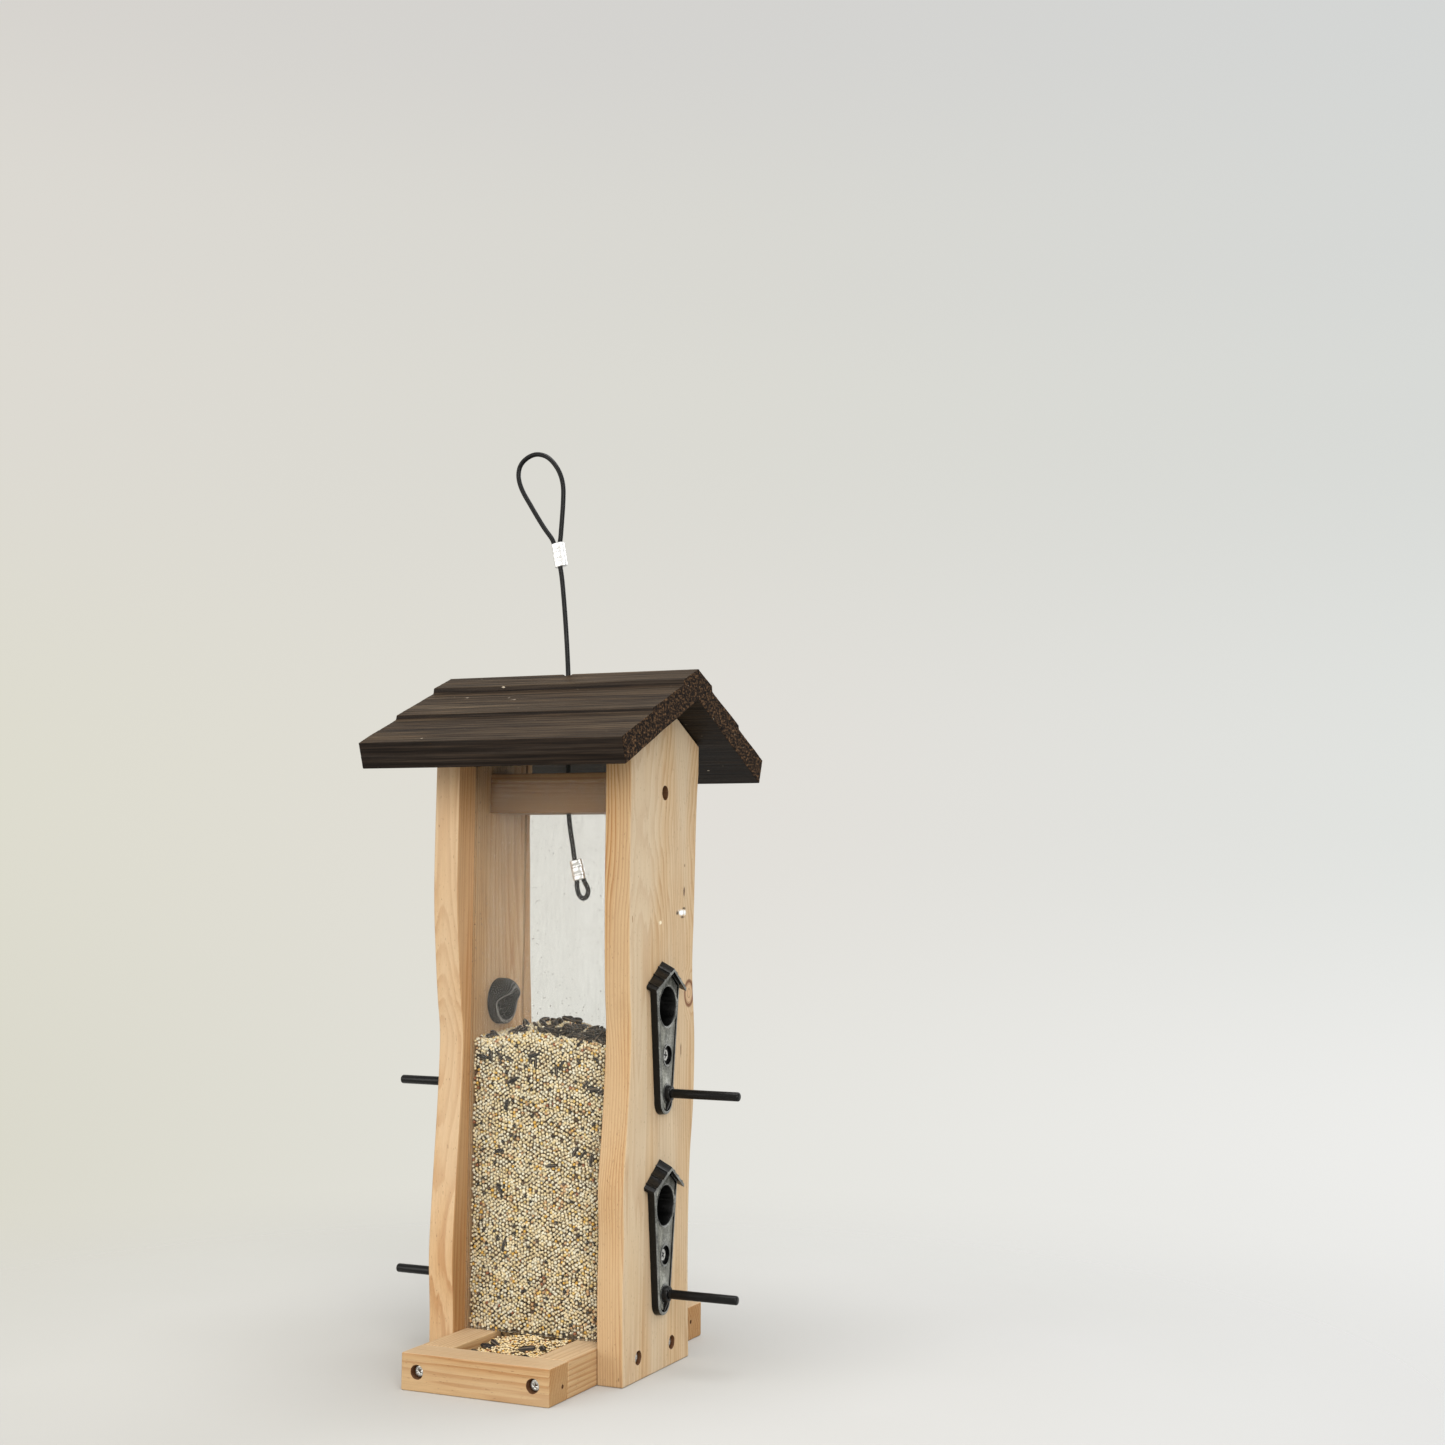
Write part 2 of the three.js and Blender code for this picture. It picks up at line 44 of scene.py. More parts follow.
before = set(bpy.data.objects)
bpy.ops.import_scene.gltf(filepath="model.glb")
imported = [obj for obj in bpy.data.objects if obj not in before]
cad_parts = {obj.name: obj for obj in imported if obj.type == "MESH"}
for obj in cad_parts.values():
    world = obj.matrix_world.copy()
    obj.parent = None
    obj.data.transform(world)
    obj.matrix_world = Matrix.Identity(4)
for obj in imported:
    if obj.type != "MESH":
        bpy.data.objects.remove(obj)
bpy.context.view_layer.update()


# Places from the frame -------------------------------------------------
def extent(node):
    """Lowest and highest corner of a CAD node, in millimetres."""
    lo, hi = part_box(node)
    return lo / MM, hi / MM


def middle(node):
    lo, hi = extent(node)
    return (lo + hi) / 2


INNER_FACE, OUTER_FACE = (corner.x for corner in extent("side_board_right"))
PANE_INNER, PANE_OUTER = (corner.y for corner in extent("back_pane"))
TRAY_INNER, TRAY_OUTER = (corner.y for corner in extent("tray_rail_back"))
BOARD_TOP = extent("side_board_left")[1].z
RAIL_TOP = extent("base_rail_left")[1].z
RAIL_INNER = extent("base_rail_right")[0].x
FLOOR_TOP = extent("floor_board")[1].z
ROOF_END = extent("roof_panel_front")[1].x
RIDGE_TOP = extent("roof_panel_front")[1].z
PORT_HEIGHT = {level: middle(f"port_hood_right_{level}").z for level in LEVELS}


# Camera, at the photographer's place -----------------------------------
CAMERA_PLACE = (583.2, -1098.5, 282.9)
CAMERA_YAW = 23.59
CAMERA_PITCH = 4.955
CAMERA_ROLL = 0.57
CAMERA_LENS = 49.64


def add_camera():
    yaw, pitch, roll = (math.radians(a) for a in (CAMERA_YAW, CAMERA_PITCH, CAMERA_ROLL))
    level = math.cos(pitch)
    forward = Vector((-math.sin(yaw) * level, math.cos(yaw) * level, math.sin(pitch)))
    right = Vector((math.cos(yaw), math.sin(yaw), 0))
    up = right.cross(forward)
    x_axis = right * math.cos(roll) + up * math.sin(roll)
    y_axis = up * math.cos(roll) - right * math.sin(roll)
    data = bpy.data.cameras.new("camera")
    data.lens = CAMERA_LENS
    camera = add_object("camera", data)
    turn = Matrix((x_axis, y_axis, -forward)).transposed().to_4x4()
    camera.matrix_world = Matrix.Translation(Vector(CAMERA_PLACE) * MM) @ turn
    bpy.context.scene.camera = camera


def add_object(name, data):
    obj = bpy.data.objects.new(name, data)
    bpy.context.scene.collection.objects.link(obj)
    return obj


# Node-tree helpers -----------------------------------------------------
WHITE = (255, 255, 255)


def srgb(red, green, blue):
    """A colour given as 0 to 255, as the linear colour that nodes use."""
    linear = [c / 12.92 if c <= 0.04045 else ((c + 0.055) / 1.055) ** 2.4
              for c in (red / 255, green / 255, blue / 255)]
    return (*linear, 1.0)


class Tree:
    """The node tree of a new material, or of the world, with short ways to add to it.

    Colours are given as (red, green, blue) from 0 to 255, and a number in a ramp is a plain factor.
    """

    def __init__(self, name, world=None):
        self.owner = world or bpy.data.materials.new(name)
        self.owner.use_nodes = True
        self.nodes = self.owner.node_tree.nodes
        self.links = self.owner.node_tree.links
        self.shader = self.nodes["Background" if world else "Principled BSDF"]

    def add(self, kind, inputs=None, out=0, **settings):
        made = self.nodes.new("ShaderNode" + kind)
        for key, value in settings.items():
            setattr(made, key, value)
        for key, value in (inputs or {}).items():
            self.plug(made.inputs[key], value)
        return made.outputs[out]

    def plug(self, socket, value):
        if isinstance(value, bpy.types.NodeSocket):
            self.links.new(value, socket)
        else:
            socket.default_value = srgb(*value) if socket.type == "RGBA" else value

    def shade(self, **values):
        """Sets the shader's sockets; underscores stand for spaces."""
        for key, value in values.items():
            self.plug(self.shader.inputs[key.replace("_", " ")], value)
        return self.owner

    def surface(self, colour, roughness, relief, **more):
        """Shades with a colour, a roughness (pattern, low, high) and a relief (pattern, depth, strength)."""
        pattern, low, high = roughness
        roughness = self.ramp(pattern, [(0.3, low), (0.7, high)])
        return self.shade(Base_Color=colour, Roughness=roughness, Normal=self.bump(*relief), **more)

    def show(self, surface):
        """Makes surface the material's output."""
        self.links.new(surface, self.nodes["Material Output"].inputs["Surface"])
        return self.owner

    def math(self, operation, a, b=0.0, clamp=False):
        return self.add("Math", {0: a, 1: b}, operation=operation, use_clamp=clamp)

    def times(self, a, b):
        return self.math("MULTIPLY", a, b)

    def plus(self, a, b):
        return self.math("ADD", a, b)

    def vector(self, operation, a, b=(0, 0, 0), out=0):
        return self.add("VectorMath", {0: a, 1: b}, out=out, operation=operation)

    def dot(self, a, b):
        return self.vector("DOT_PRODUCT", a, b, out="Value")

    def place(self, scale=(1, 1, 1)):
        """Object coordinates in millimetres, times scale."""
        return self.vector("MULTIPLY", self.add("TexCoord", out="Object"), tuple(s / MM for s in scale))

    def axis(self, letter):
        """One object coordinate, in millimetres."""
        return self.add("SeparateXYZ", {0: self.place()}, out=letter)

    def looking(self, axis):
        """How far the surface looks along an axis: 1 along it, 0 across it and -1 against it."""
        return self.dot(self.add("TexCoord", out="Normal"), axis)

    def facing(self, axis, low=0.6, high=0.85):
        """1 on the faces that look along an axis, either way, and 0 on the others."""
        return self.ramp(self.math("ABSOLUTE", self.looking(axis)), [(low, 0.0), (high, 1.0)])

    def noise(self, vector, scale, detail=4.0, rough=0.55, out=0):
        inputs = {"Vector": vector, "Scale": scale, "Detail": detail, "Roughness": rough}
        return self.add("TexNoise", inputs, out=out)

    def ramp(self, factor, stops, ease="LINEAR"):
        made = self.nodes.new("ShaderNodeValToRGB")
        made.color_ramp.interpolation = ease
        elements = made.color_ramp.elements
        while len(elements) < len(stops):
            elements.new(1.0)
        for element, (position, value) in zip(elements, stops):
            element.position = position
            element.color = srgb(*value) if isinstance(value, tuple) else (value, value, value, 1)
        self.plug(made.inputs[0], factor)
        return made.outputs[0]

    def mix(self, factor, a, b, blend="MIX"):
        made = self.nodes.new("ShaderNodeMix")
        made.data_type = "RGBA"
        made.blend_type = blend
        for index, value in ((0, factor), (6, a), (7, b)):
            self.plug(made.inputs[index], value)
        return made.outputs[2]

    def tinted(self, colour, tone):
        return self.mix(1.0, colour, tone, "MULTIPLY")

    def bump(self, height, depth, strength=1.0):
        """A normal from a height of 0 to 1 that stands for depth millimetres."""
        return self.add("Bump", {"Height": height, "Distance": depth * MM, "Strength": strength})


# Wood ------------------------------------------------------------------
GRAIN_ORDER = {"X": "YZX", "Y": "ZXY", "Z": "XYZ"}
PINE = {
    "early": (212, 181, 142),
    "middle": (203, 168, 126),
    "late": (176, 128, 82),
    "pale": (206, 184, 154),
    "streak": (166, 120, 78),
    "pore": (104, 68, 40),
    "knot": (118, 74, 46),
    "knot_heart": (196, 154, 114),
    "end": (240, 226, 204),
    # painted light for the faces that look up or down
    "top_light_tone": (236, 224, 203),
    # painted shade for the inner faces outside the panes, low and high
    "lip_shade_low": (212, 194, 168),
    "lip_shade_high": (238, 224, 206),
}


def grain_space(tree, grain, stretch):
    """Millimetre coordinates turned so that the grain runs along Z, and shortened along it."""
    across, over, along = (tree.axis(letter) for letter in GRAIN_ORDER[grain])
    return tree.add("CombineXYZ", {0: across, 1: over, 2: tree.times(along, stretch)})


def ring_phase(tree, space, pith, ring, wander):
    """How many growth rings a point is from the pith, with the rings' slow wander."""
    drift = tree.noise(space, 0.022, detail=2.0, out="Color")
    drift = tree.vector("SUBTRACT", drift, (0.5, 0.5, 0.5))
    drift = tree.vector("MULTIPLY", drift, (wander, wander, 0))
    point = tree.vector("SUBTRACT", tree.vector("ADD", space, drift), (*pith, 0))
    point = tree.vector("MULTIPLY", point, (1, 1, 0.12))
    return tree.math("DIVIDE", tree.vector("LENGTH", point, out="Value"), ring)


def knot_distance(tree, centre, axis, radius, tall):
    """Distance from a knot's axis, X or Y, as a share of its radius. tall stretches it upwards."""
    across = (float(axis != "X"), float(axis != "Y"), 1 / tall)
    offset = tree.vector("SUBTRACT", tree.place(), centre)
    offset = tree.vector("MULTIPLY", offset, tuple(share / radius for share in across))
    return tree.vector("LENGTH", offset, out="Value")


def knotted(tree, colour, knot):
    """A knot's dark rim and ringed heart over the colour."""
    near = knot_distance(tree, *knot)
    half = tree.times(near, 0.5)
    heart = tree.ramp(tree.math("FRACT", tree.times(near, 2.6)), [
        (0.0, PINE["knot_heart"]), (0.7, PINE["knot_heart"]), (0.95, PINE["knot"]),
    ], "EASE")
    cover = tree.ramp(half, [(0.0, 0.8), (0.36, 0.55), (0.44, 1.0), (0.52, 0.9), (0.6, 0.0)], "EASE")
    rim = tree.ramp(half, [(0.36, 0.0), (0.45, 1.0), (0.52, 1.0), (0.6, 0.0)], "EASE")
    return tree.mix(cover, colour, tree.mix(rim, heart, PINE["knot"]))


def painted_lip_shade(tree, colour):
    """Painted shade: the side boards' inner faces outside the panes are dimmer, most of all low down."""
    inner = tree.math("LESS_THAN", tree.math("ABSOLUTE", tree.axis("X")), INNER_FACE + 0.5)
    outside = tree.math("GREATER_THAN", tree.math("ABSOLUTE", tree.axis("Y")), PANE_INNER - 0.5)
    height = tree.times(tree.axis("Z"), 1 / BOARD_TOP)
    shade = tree.ramp(height, [(0.1, PINE["lip_shade_low"]), (0.6, PINE["lip_shade_high"])])
    return tree.mix(tree.times(inner, outside), colour, tree.tinted(colour, shade))


def wood(name, grain, pith, ring, wander, tint, calm=0.35, knots=(), hidden=(), marks=(),
         edge=None, lip_shade=False, painted_top_light=0.0):
    """Planed pine: growth rings round a pith, fibres, resin pores, soft blotches, knots and marks.

    Hidden knots only push the rings aside. edge tints the faces that look to the front and back. The
    top-light argument paints light on those that look up or down. Marks are placed by y and z only, so they
    go right through a board and show on both its faces.
    """
    tree = Tree(name)
    space = grain_space(tree, grain, 0.055)
    phase = ring_phase(tree, space, pith, ring, wander)
    for knot in (*knots, *hidden):
        near = tree.times(knot_distance(tree, *knot), 0.4)
        pull = tree.ramp(near, [(0.0, 1.0), (0.4, 0.55), (1.0, 0.0)], "EASE")
        phase = tree.plus(phase, tree.times(pull, 2.6))
    phase = tree.plus(phase, tree.times(tree.noise(space, 0.16, detail=2.0), 1.3))
    year = tree.math("FRACT", phase)
    rings = tree.ramp(year, [
        (0.0, PINE["early"]), (0.45, PINE["middle"]), (0.8, PINE["late"]),
        (0.9, PINE["late"]), (1.0, PINE["early"]),
    ], "EASE")
    edges = tree.facing((0, 1, 0))
    calm = tree.ramp(edges, [(0.0, calm), (1.0, 0.1)]) if edge else calm
    colour = tree.mix(calm, rings, PINE["middle"])

    fibre_space = grain_space(tree, grain, 0.018)
    fibre = tree.noise(fibre_space, 0.9, detail=6.0, rough=0.7)
    fine = tree.noise(fibre_space, 4.5, detail=3.0, rough=0.6)
    streaks = tree.ramp(fibre, [(0.36, 1.0), (0.52, 0.0)])
    colour = tree.mix(tree.times(streaks, 0.3), colour, PINE["streak"])
    colour = tree.tinted(colour, tree.ramp(fine, [(0.35, (238, 236, 232)), (0.65, WHITE)]))

    blotch = tree.noise(grain_space(tree, grain, 0.2), 0.028, detail=2.0)
    blotch = tree.ramp(blotch, [(0.42, 0.0), (0.62, 0.75)])
    colour = tree.mix(blotch, colour, tree.mix(0.65, colour, PINE["pale"]))
    pores = tree.noise(grain_space(tree, grain, 0.16), 1.9, detail=1.0)
    colour = tree.mix(tree.ramp(pores, [(0.70, 0.0), (0.76, 0.6)]), colour, PINE["pore"])
    for knot in knots:
        colour = knotted(tree, colour, knot)
    for y, z, radius, tall, tone in marks:
        ragged = tree.times(tree.math("SUBTRACT", pores, 0.5), 2.2)
        near = tree.plus(knot_distance(tree, (OUTER_FACE, y, z), "X", radius, tall), ragged)
        colour = tree.mix(tree.ramp(near, [(0.7, 0.85), (1.0, 0.0)]), colour, tone)

    ends = tree.facing(tuple(float(letter == grain) for letter in "XYZ"), 0.75, 0.9)
    colour = tree.mix(ends, colour, tree.tinted(colour, PINE["end"]))
    if edge:
        colour = tree.mix(edges, colour, tree.tinted(colour, edge))
    # painted shade on the inner faces outside the panes
    if lip_shade:
        colour = painted_lip_shade(tree, colour)
    # painted light: the faces that look up or down are made lighter
    if painted_top_light:
        colour = tree.mix(tree.times(tree.facing((0, 0, 1)), painted_top_light), colour, PINE["top_light_tone"])
    height = tree.plus(tree.times(fibre, 0.7), tree.times(year, 0.35))
    colour = tree.tinted(colour, tint)
    return tree.surface(colour, (fibre, 0.74, 0.56), (height, 0.16, 0.7), Specular_IOR_Level=0.28)


def stained_wood(name):
    """Dark brown stain over brushed grain along X, worn lighter on the ridges of the grain, with painted
    light on faces that look up and painted shade on the rest, deepest underneath.
    """
    tree = Tree(name)
    fibre_space = grain_space(tree, "X", 0.014)
    fibre = tree.noise(fibre_space, 0.75, detail=7.0, rough=0.72)
    fine = tree.noise(fibre_space, 3.2, detail=4.0, rough=0.7)
    broad = tree.noise(grain_space(tree, "X", 0.07), 0.05, detail=3.0)
    streak = tree.noise(grain_space(tree, "X", 0.02), 0.42, detail=3.0, rough=0.6)
    deep = tree.ramp(fibre, [
        (0.3, (14, 12, 10)), (0.46, (39, 32, 28)), (0.6, (56, 47, 41)), (0.76, (82, 68, 57)),
    ])
    weathered_and_top_lit = tree.ramp(fibre, [
        (0.32, (10, 7, 4)), (0.46, (57, 46, 35)), (0.58, (84, 70, 54)), (0.74, (142, 121, 96)),
    ])
    # painted light and shade: faces that look up take the lighter weathered tone, the others keep the dark
    # tone as painted shade
    upward = tree.looking((0, 0, 1))
    colour = tree.mix(tree.ramp(upward, [(0.3, 0.0), (0.7, 1.0)]), deep, weathered_and_top_lit)
    # painted shade on the faces that look down
    below = tree.ramp(tree.times(upward, -1.0), [(0.4, WHITE), (0.7, (176, 160, 138))])
    colour = tree.tinted(colour, below)
    worn = tree.ramp(broad, [(0.4, 0.0), (0.65, 0.35)])
    colour = tree.mix(worn, colour, tree.mix(0.5, colour, weathered_and_top_lit))
    colour = tree.tinted(colour, tree.ramp(fine, [(0.3, (196, 196, 196)), (0.62, WHITE)]))
    colour = tree.tinted(colour, tree.ramp(streak, [
        (0.36, (150, 134, 116)), (0.5, (232, 222, 208)), (0.64, (255, 255, 250)),
    ]))

    ends = tree.facing((1, 0, 0), 0.7, 0.9)
    cells = tree.noise(tree.place(), 0.55, detail=6.0, rough=0.75)
    sawn = tree.noise(tree.place((0, 0.35, 1.6)), 0.5, detail=3.0, rough=0.6)
    colour = tree.mix(ends, colour, tree.ramp(tree.plus(cells, tree.times(sawn, 0.5)), [
        (0.6, (6, 4, 3)), (0.76, (36, 25, 17)), (0.92, (116, 87, 60)),
    ]))
    flecks = tree.noise(tree.place((0.35, 1, 1)), 0.42, detail=2.0, rough=0.4)
    colour = tree.mix(tree.ramp(flecks, [(0.765, 0.0), (0.785, 0.9)]), colour, (190, 176, 156))
    height = tree.plus(tree.times(fibre, 0.75), tree.times(fine, 0.3))
    return tree.shade(
        Base_Color=colour,
        Roughness=tree.math("MAXIMUM", tree.ramp(fibre, [(0.3, 0.6), (0.7, 0.44)]), ends),
        Specular_IOR_Level=0.12,
        Normal=tree.bump(tree.mix(ends, height, cells), 0.35, 0.8),
    )


# Plastics, metals, acrylic and seed ------------------------------------
def moulded_plastic(name, dark, light, roughness, texture, depth):
    """Black moulded plastic: a fine spark-eroded texture, with greyer worn places."""
    tree = Tree(name)
    spark = tree.noise(tree.place(), texture, rough=0.65)
    rub = tree.noise(tree.place(), 0.11, detail=5.0, rough=0.6)
    grey = tree.ramp(tree.times(spark, rub), [(0.16, dark), (0.36, light)])
    sheen = (spark, roughness + 0.12, roughness - 0.06)
    return tree.surface(grey, sheen, (spark, depth, 0.8), Specular_IOR_Level=0.26)


def zinc_steel(name, metallic):
    """Zinc plate: mirror-like, or with a chalky bloom where it is less metallic."""
    tree = Tree(name)
    cloud = tree.noise(tree.place(), 0.9, detail=5.0)
    scratch = tree.noise(tree.place((1, 9, 1)), 2.2, detail=3.0)
    tone = tree.ramp(cloud, [(0.3, (176, 175, 170)), (0.7, (232, 231, 227))])
    return tree.surface(tone, (scratch, 0.22, 0.4), (scratch, 0.03, 0.5), Metallic=metallic)


def crimped_aluminium():
    tree = Tree("crimp_aluminium")
    drawn = tree.noise(tree.place((3.2, 3.2, 0.25)), 1.0, rough=0.6)
    tone = tree.ramp(drawn, [(0.3, (232, 232, 232)), (0.7, (252, 252, 252))])
    return tree.surface(tone, (drawn, 0.26, 0.42), (drawn, 0.05, 0.6), Metallic=0.7)


def cable_cover():
    tree = Tree("cable_cover")
    bloom = tree.noise(tree.place(), 0.35)
    skin = tree.noise(tree.place(), 2.6, detail=2.0)
    tone = tree.ramp(bloom, [(0.35, (4, 4, 4)), (0.7, (13, 13, 13))])
    return tree.surface(tone, (bloom, 0.34, 0.5), (skin, 0.01, 0.4), Specular_IOR_Level=0.24)


def dusty_acrylic():
    """Clear sheet: what is behind it shows through, with a gloss at grazing angles and dust inside."""
    tree = Tree("clear_acrylic")
    specks = tree.noise(tree.place(), 0.62, detail=1.0, rough=0.4)
    haze = tree.ramp(tree.noise(tree.place(), 0.03, detail=3.0), [(0.3, 0.006), (0.7, 0.03)])
    rubs = tree.ramp(tree.noise(tree.place((1, 1, 0.12)), 0.5), [(0.5, 0.0), (0.8, 0.05)])
    spots = tree.ramp(specks, [(0.735, 0.0), (0.765, 0.55)])
    dust = tree.math("MAXIMUM", spots, tree.plus(haze, rubs))
    clear = tree.add("BsdfTransparent", {"Color": (253.31, 253.65, 253.42)})
    gloss = tree.add("BsdfGlossy", {"Color": WHITE, "Roughness": 0.06})
    edge = tree.add("LayerWeight", {"Blend": 0.12}, out="Fresnel")
    sheet = tree.add("MixShader", {0: edge, 1: clear, 2: gloss})
    dust_tone = tree.ramp(specks, [(0.74, (205, 200, 190)), (0.78, (140, 124, 104))])
    powder = tree.add("BsdfDiffuse", {"Color": dust_tone})
    tree.nodes.remove(tree.shader)
    return tree.show(tree.add("MixShader", {0: dust, 1: sheet, 2: powder}))


def millet(name, tint, outward, gap):
    """Cream millet with golden, tan, red and dark grains, one colour to each grain.

    Grains get painted shade in the gaps: they are darker where their surface turns away from outward. gap is
    where that painted shade starts and where it is nearly over.
    """
    tree = Tree(name)
    tone = tree.ramp(tree.add("NewGeometry", out="Random Per Island"), [
        (0.0, (255, 249, 228)), (0.2, (252, 240, 210)), (0.42, (255, 253, 240)),
        (0.62, (250, 234, 198)), (0.76, (252, 236, 192)), (0.85, (244, 214, 140)),
        (0.89, (238, 190, 84)), (0.91, (220, 180, 136)), (0.95, (168, 104, 66)),
        (0.964, (96, 70, 54)), (0.976, (40, 34, 32)),
    ], "CONSTANT")
    husk = tree.noise(tree.place(), 0.9, detail=2.0)
    tone = tree.tinted(tone, tree.ramp(husk, [(0.3, (238, 233, 225)), (0.7, WHITE)]))
    tone = tree.tinted(tone, tint)
    dark, light = gap
    # painted shade in the gaps between the grains
    tone = tree.tinted(tone, tree.ramp(tree.math("ABSOLUTE", tree.looking(outward)), [
        (dark, (56, 36, 20)), (light, (212, 194, 166)), (light + 0.16, WHITE),
    ]))
    skin = tree.noise(tree.place(), 3.0, detail=2.0)
    return tree.surface(tone, (husk, 0.28, 0.42), (skin, 0.04, 0.4), Specular_IOR_Level=0.6)


def sunflower():
    """Black sunflower husks with pale stripes along the seed, carried by the mesh."""
    tree = Tree("sunflower_husk")
    stripe = tree.add("Attribute", out="Fac", attribute_name="stripe")
    ink = tree.noise(tree.place(), 1.4, detail=3.0)
    blend = tree.plus(stripe, tree.times(tree.math("SUBTRACT", ink, 0.5), 0.7))
    tone = tree.ramp(blend, [(0.45, (26, 21, 18)), (0.8, (104, 91, 76))])
    return tree.surface(tone, (ink, 0.5, 0.66), (ink, 0.1, 0.5), Specular_IOR_Level=0.35)


def seed_shadow():
    """The dim seed behind the first grains, painted the dark colour of seed in shadow."""
    tree = Tree("seed_shadow")
    cells = tree.add("TexVoronoi", {"Vector": tree.place(), "Scale": 0.45}, out="Distance")
    return tree.shade(
        Base_Color=tree.ramp(cells, [(0.2, (150, 122, 84)), (0.75, (52, 38, 24))]),
        Roughness=0.9,
        Normal=tree.bump(tree.math("SUBTRACT", 1.0, cells), 1.0),
    )


# Mesh helpers ----------------------------------------------------------
SMOOTH_ANGLE = math.radians(38)


def smooth(mesh):
    mesh.polygons.foreach_set("use_smooth", [True] * len(mesh.polygons))
    mesh.set_sharp_from_angle(angle=SMOOTH_ANGLE)


def solid(name, bm, *materials):
    """An object from a bmesh in millimetres."""
    bmesh.ops.scale(bm, vec=(MM,) * 3, verts=bm.verts)
    bmesh.ops.recalc_face_normals(bm, faces=bm.faces)
    mesh = bpy.data.meshes.new(name)
    bm.to_mesh(mesh)
    bm.free()
    for material in materials:
        mesh.materials.append(material)
    smooth(mesh)
    return add_object(name, mesh)


def apply_modifiers(obj):
    depsgraph = bpy.context.evaluated_depsgraph_get()
    mesh = bpy.data.meshes.new_from_object(obj.evaluated_get(depsgraph), depsgraph=depsgraph)
    old = obj.data
    obj.modifiers.clear()
    obj.data = mesh
    bpy.data.meshes.remove(old)
    mesh.name = obj.name
    return obj


def combine(obj, operation, tools, careful=False):
    """Cuts the tools out of obj, or joins them to it, and removes them."""
    for tool in tools:
        step = obj.modifiers.new("combine", "BOOLEAN")
        step.operation = operation
        step.solver = "EXACT"
        step.use_self = careful
        step.material_mode = "TRANSFER"
        step.object = tool
    apply_modifiers(obj)
    for tool in tools:
        bpy.data.meshes.remove(tool.data)
    return obj


def soften(obj, width, segments=2, angle=40):
    """Rounds the sharp edges by width millimetres."""
    step = obj.modifiers.new("soften", "BEVEL")
    step.width = width * MM
    step.segments = segments
    step.limit_method = "ANGLE"
    step.angle_limit = math.radians(angle)
    step.miter_outer = "MITER_ARC"
    return apply_modifiers(obj)


def even_shading(obj):
    """Keeps flat faces flat in the shading."""
    smooth(obj.data)
    obj.modifiers.new("even", "WEIGHTED_NORMAL").keep_sharp = True
    return apply_modifiers(obj)


def take_place(obj, node, body="housing"):
    """obj stands for a CAD node and rides on its body; the CAD node is hidden."""
    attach(obj, body)
    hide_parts(node)
    return obj


def circle(sides):
    """The points of a unit circle, as (cosine, sine)."""
    return [(math.cos(TURN * i / sides), math.sin(TURN * i / sides)) for i in range(sides)]


def loft(rings, closed_ends=True):
    """A bmesh skin over rings of points, which all have the same number."""
    bm = bmesh.new()
    made = [[bm.verts.new(point) for point in ring] for ring in rings]
    for lower, upper in zip(made, made[1:]):
        for i in range(len(lower)):
            bm.faces.new((lower[i - 1], lower[i], upper[i], upper[i - 1]))
    if closed_ends:
        bm.faces.new(made[0])
        bm.faces.new(made[-1])
    return bm


def layer(points, x):
    return [(x, y, z) for y, z in points]


def prism(points, x0, x1):
    """A bmesh of the outline points (y, z), from x0 to x1."""
    return loft([layer(points, x0), layer(points, x1)])


def box(lo, hi):
    """A bmesh block between two corners."""
    (x0, y0, z0), (x1, y1, z1) = lo, hi
    return prism([(y0, z0), (y1, z0), (y1, z1), (y0, z1)], x0, x1)


def lathe(profile, sides=32, ragged=0.0, seed=0.0):
    """A closed bmesh turned about Z. The profile is (radius, height) from axis to axis."""
    rings = []
    for radius, height in profile:
        ring = []
        for across, over in circle(sides):
            r = radius * (1 + ragged * noise.noise(Vector((across * 1.7, over * 1.7, seed))))
            ring.append((r * across, r * over, height))
        rings.append(ring)
    bm = loft(rings, closed_ends=False)
    bmesh.ops.remove_doubles(bm, verts=bm.verts, dist=1e-6)
    return bm


def aim(bm, place, direction):
    """Turns a bmesh's Z to point along direction, from place."""
    turn = Vector(direction).to_track_quat("Z", "Y").to_matrix().to_4x4()
    bmesh.ops.transform(bm, matrix=Matrix.Translation(place) @ turn, verts=bm.verts)
    return bm


def rod(name, radius, start, end, sides):
    """A plain round bar between two points."""
    along = Vector(end) - Vector(start)
    bm = lathe([(0, 0), (radius, 0), (radius, along.length), (0, along.length)], sides)
    return solid(name, aim(bm, start, along))


def across_rod(name, radius, x0, x1, z, sides=64):
    return rod(name, radius, (x0, 0, z), (x1, 0, z), sides)


def upright_rod(name, radius, x, z0, z1, sides=48):
    return rod(name, radius, (x, 0, z0), (x, 0, z1), sides)


def rolled(distance, radius):
    """How far a rounded end has drawn in at a distance from its tip, as a share of radius."""
    near = 1 - min(distance, radius) / radius
    return 1 - math.sqrt(1 - near * near)


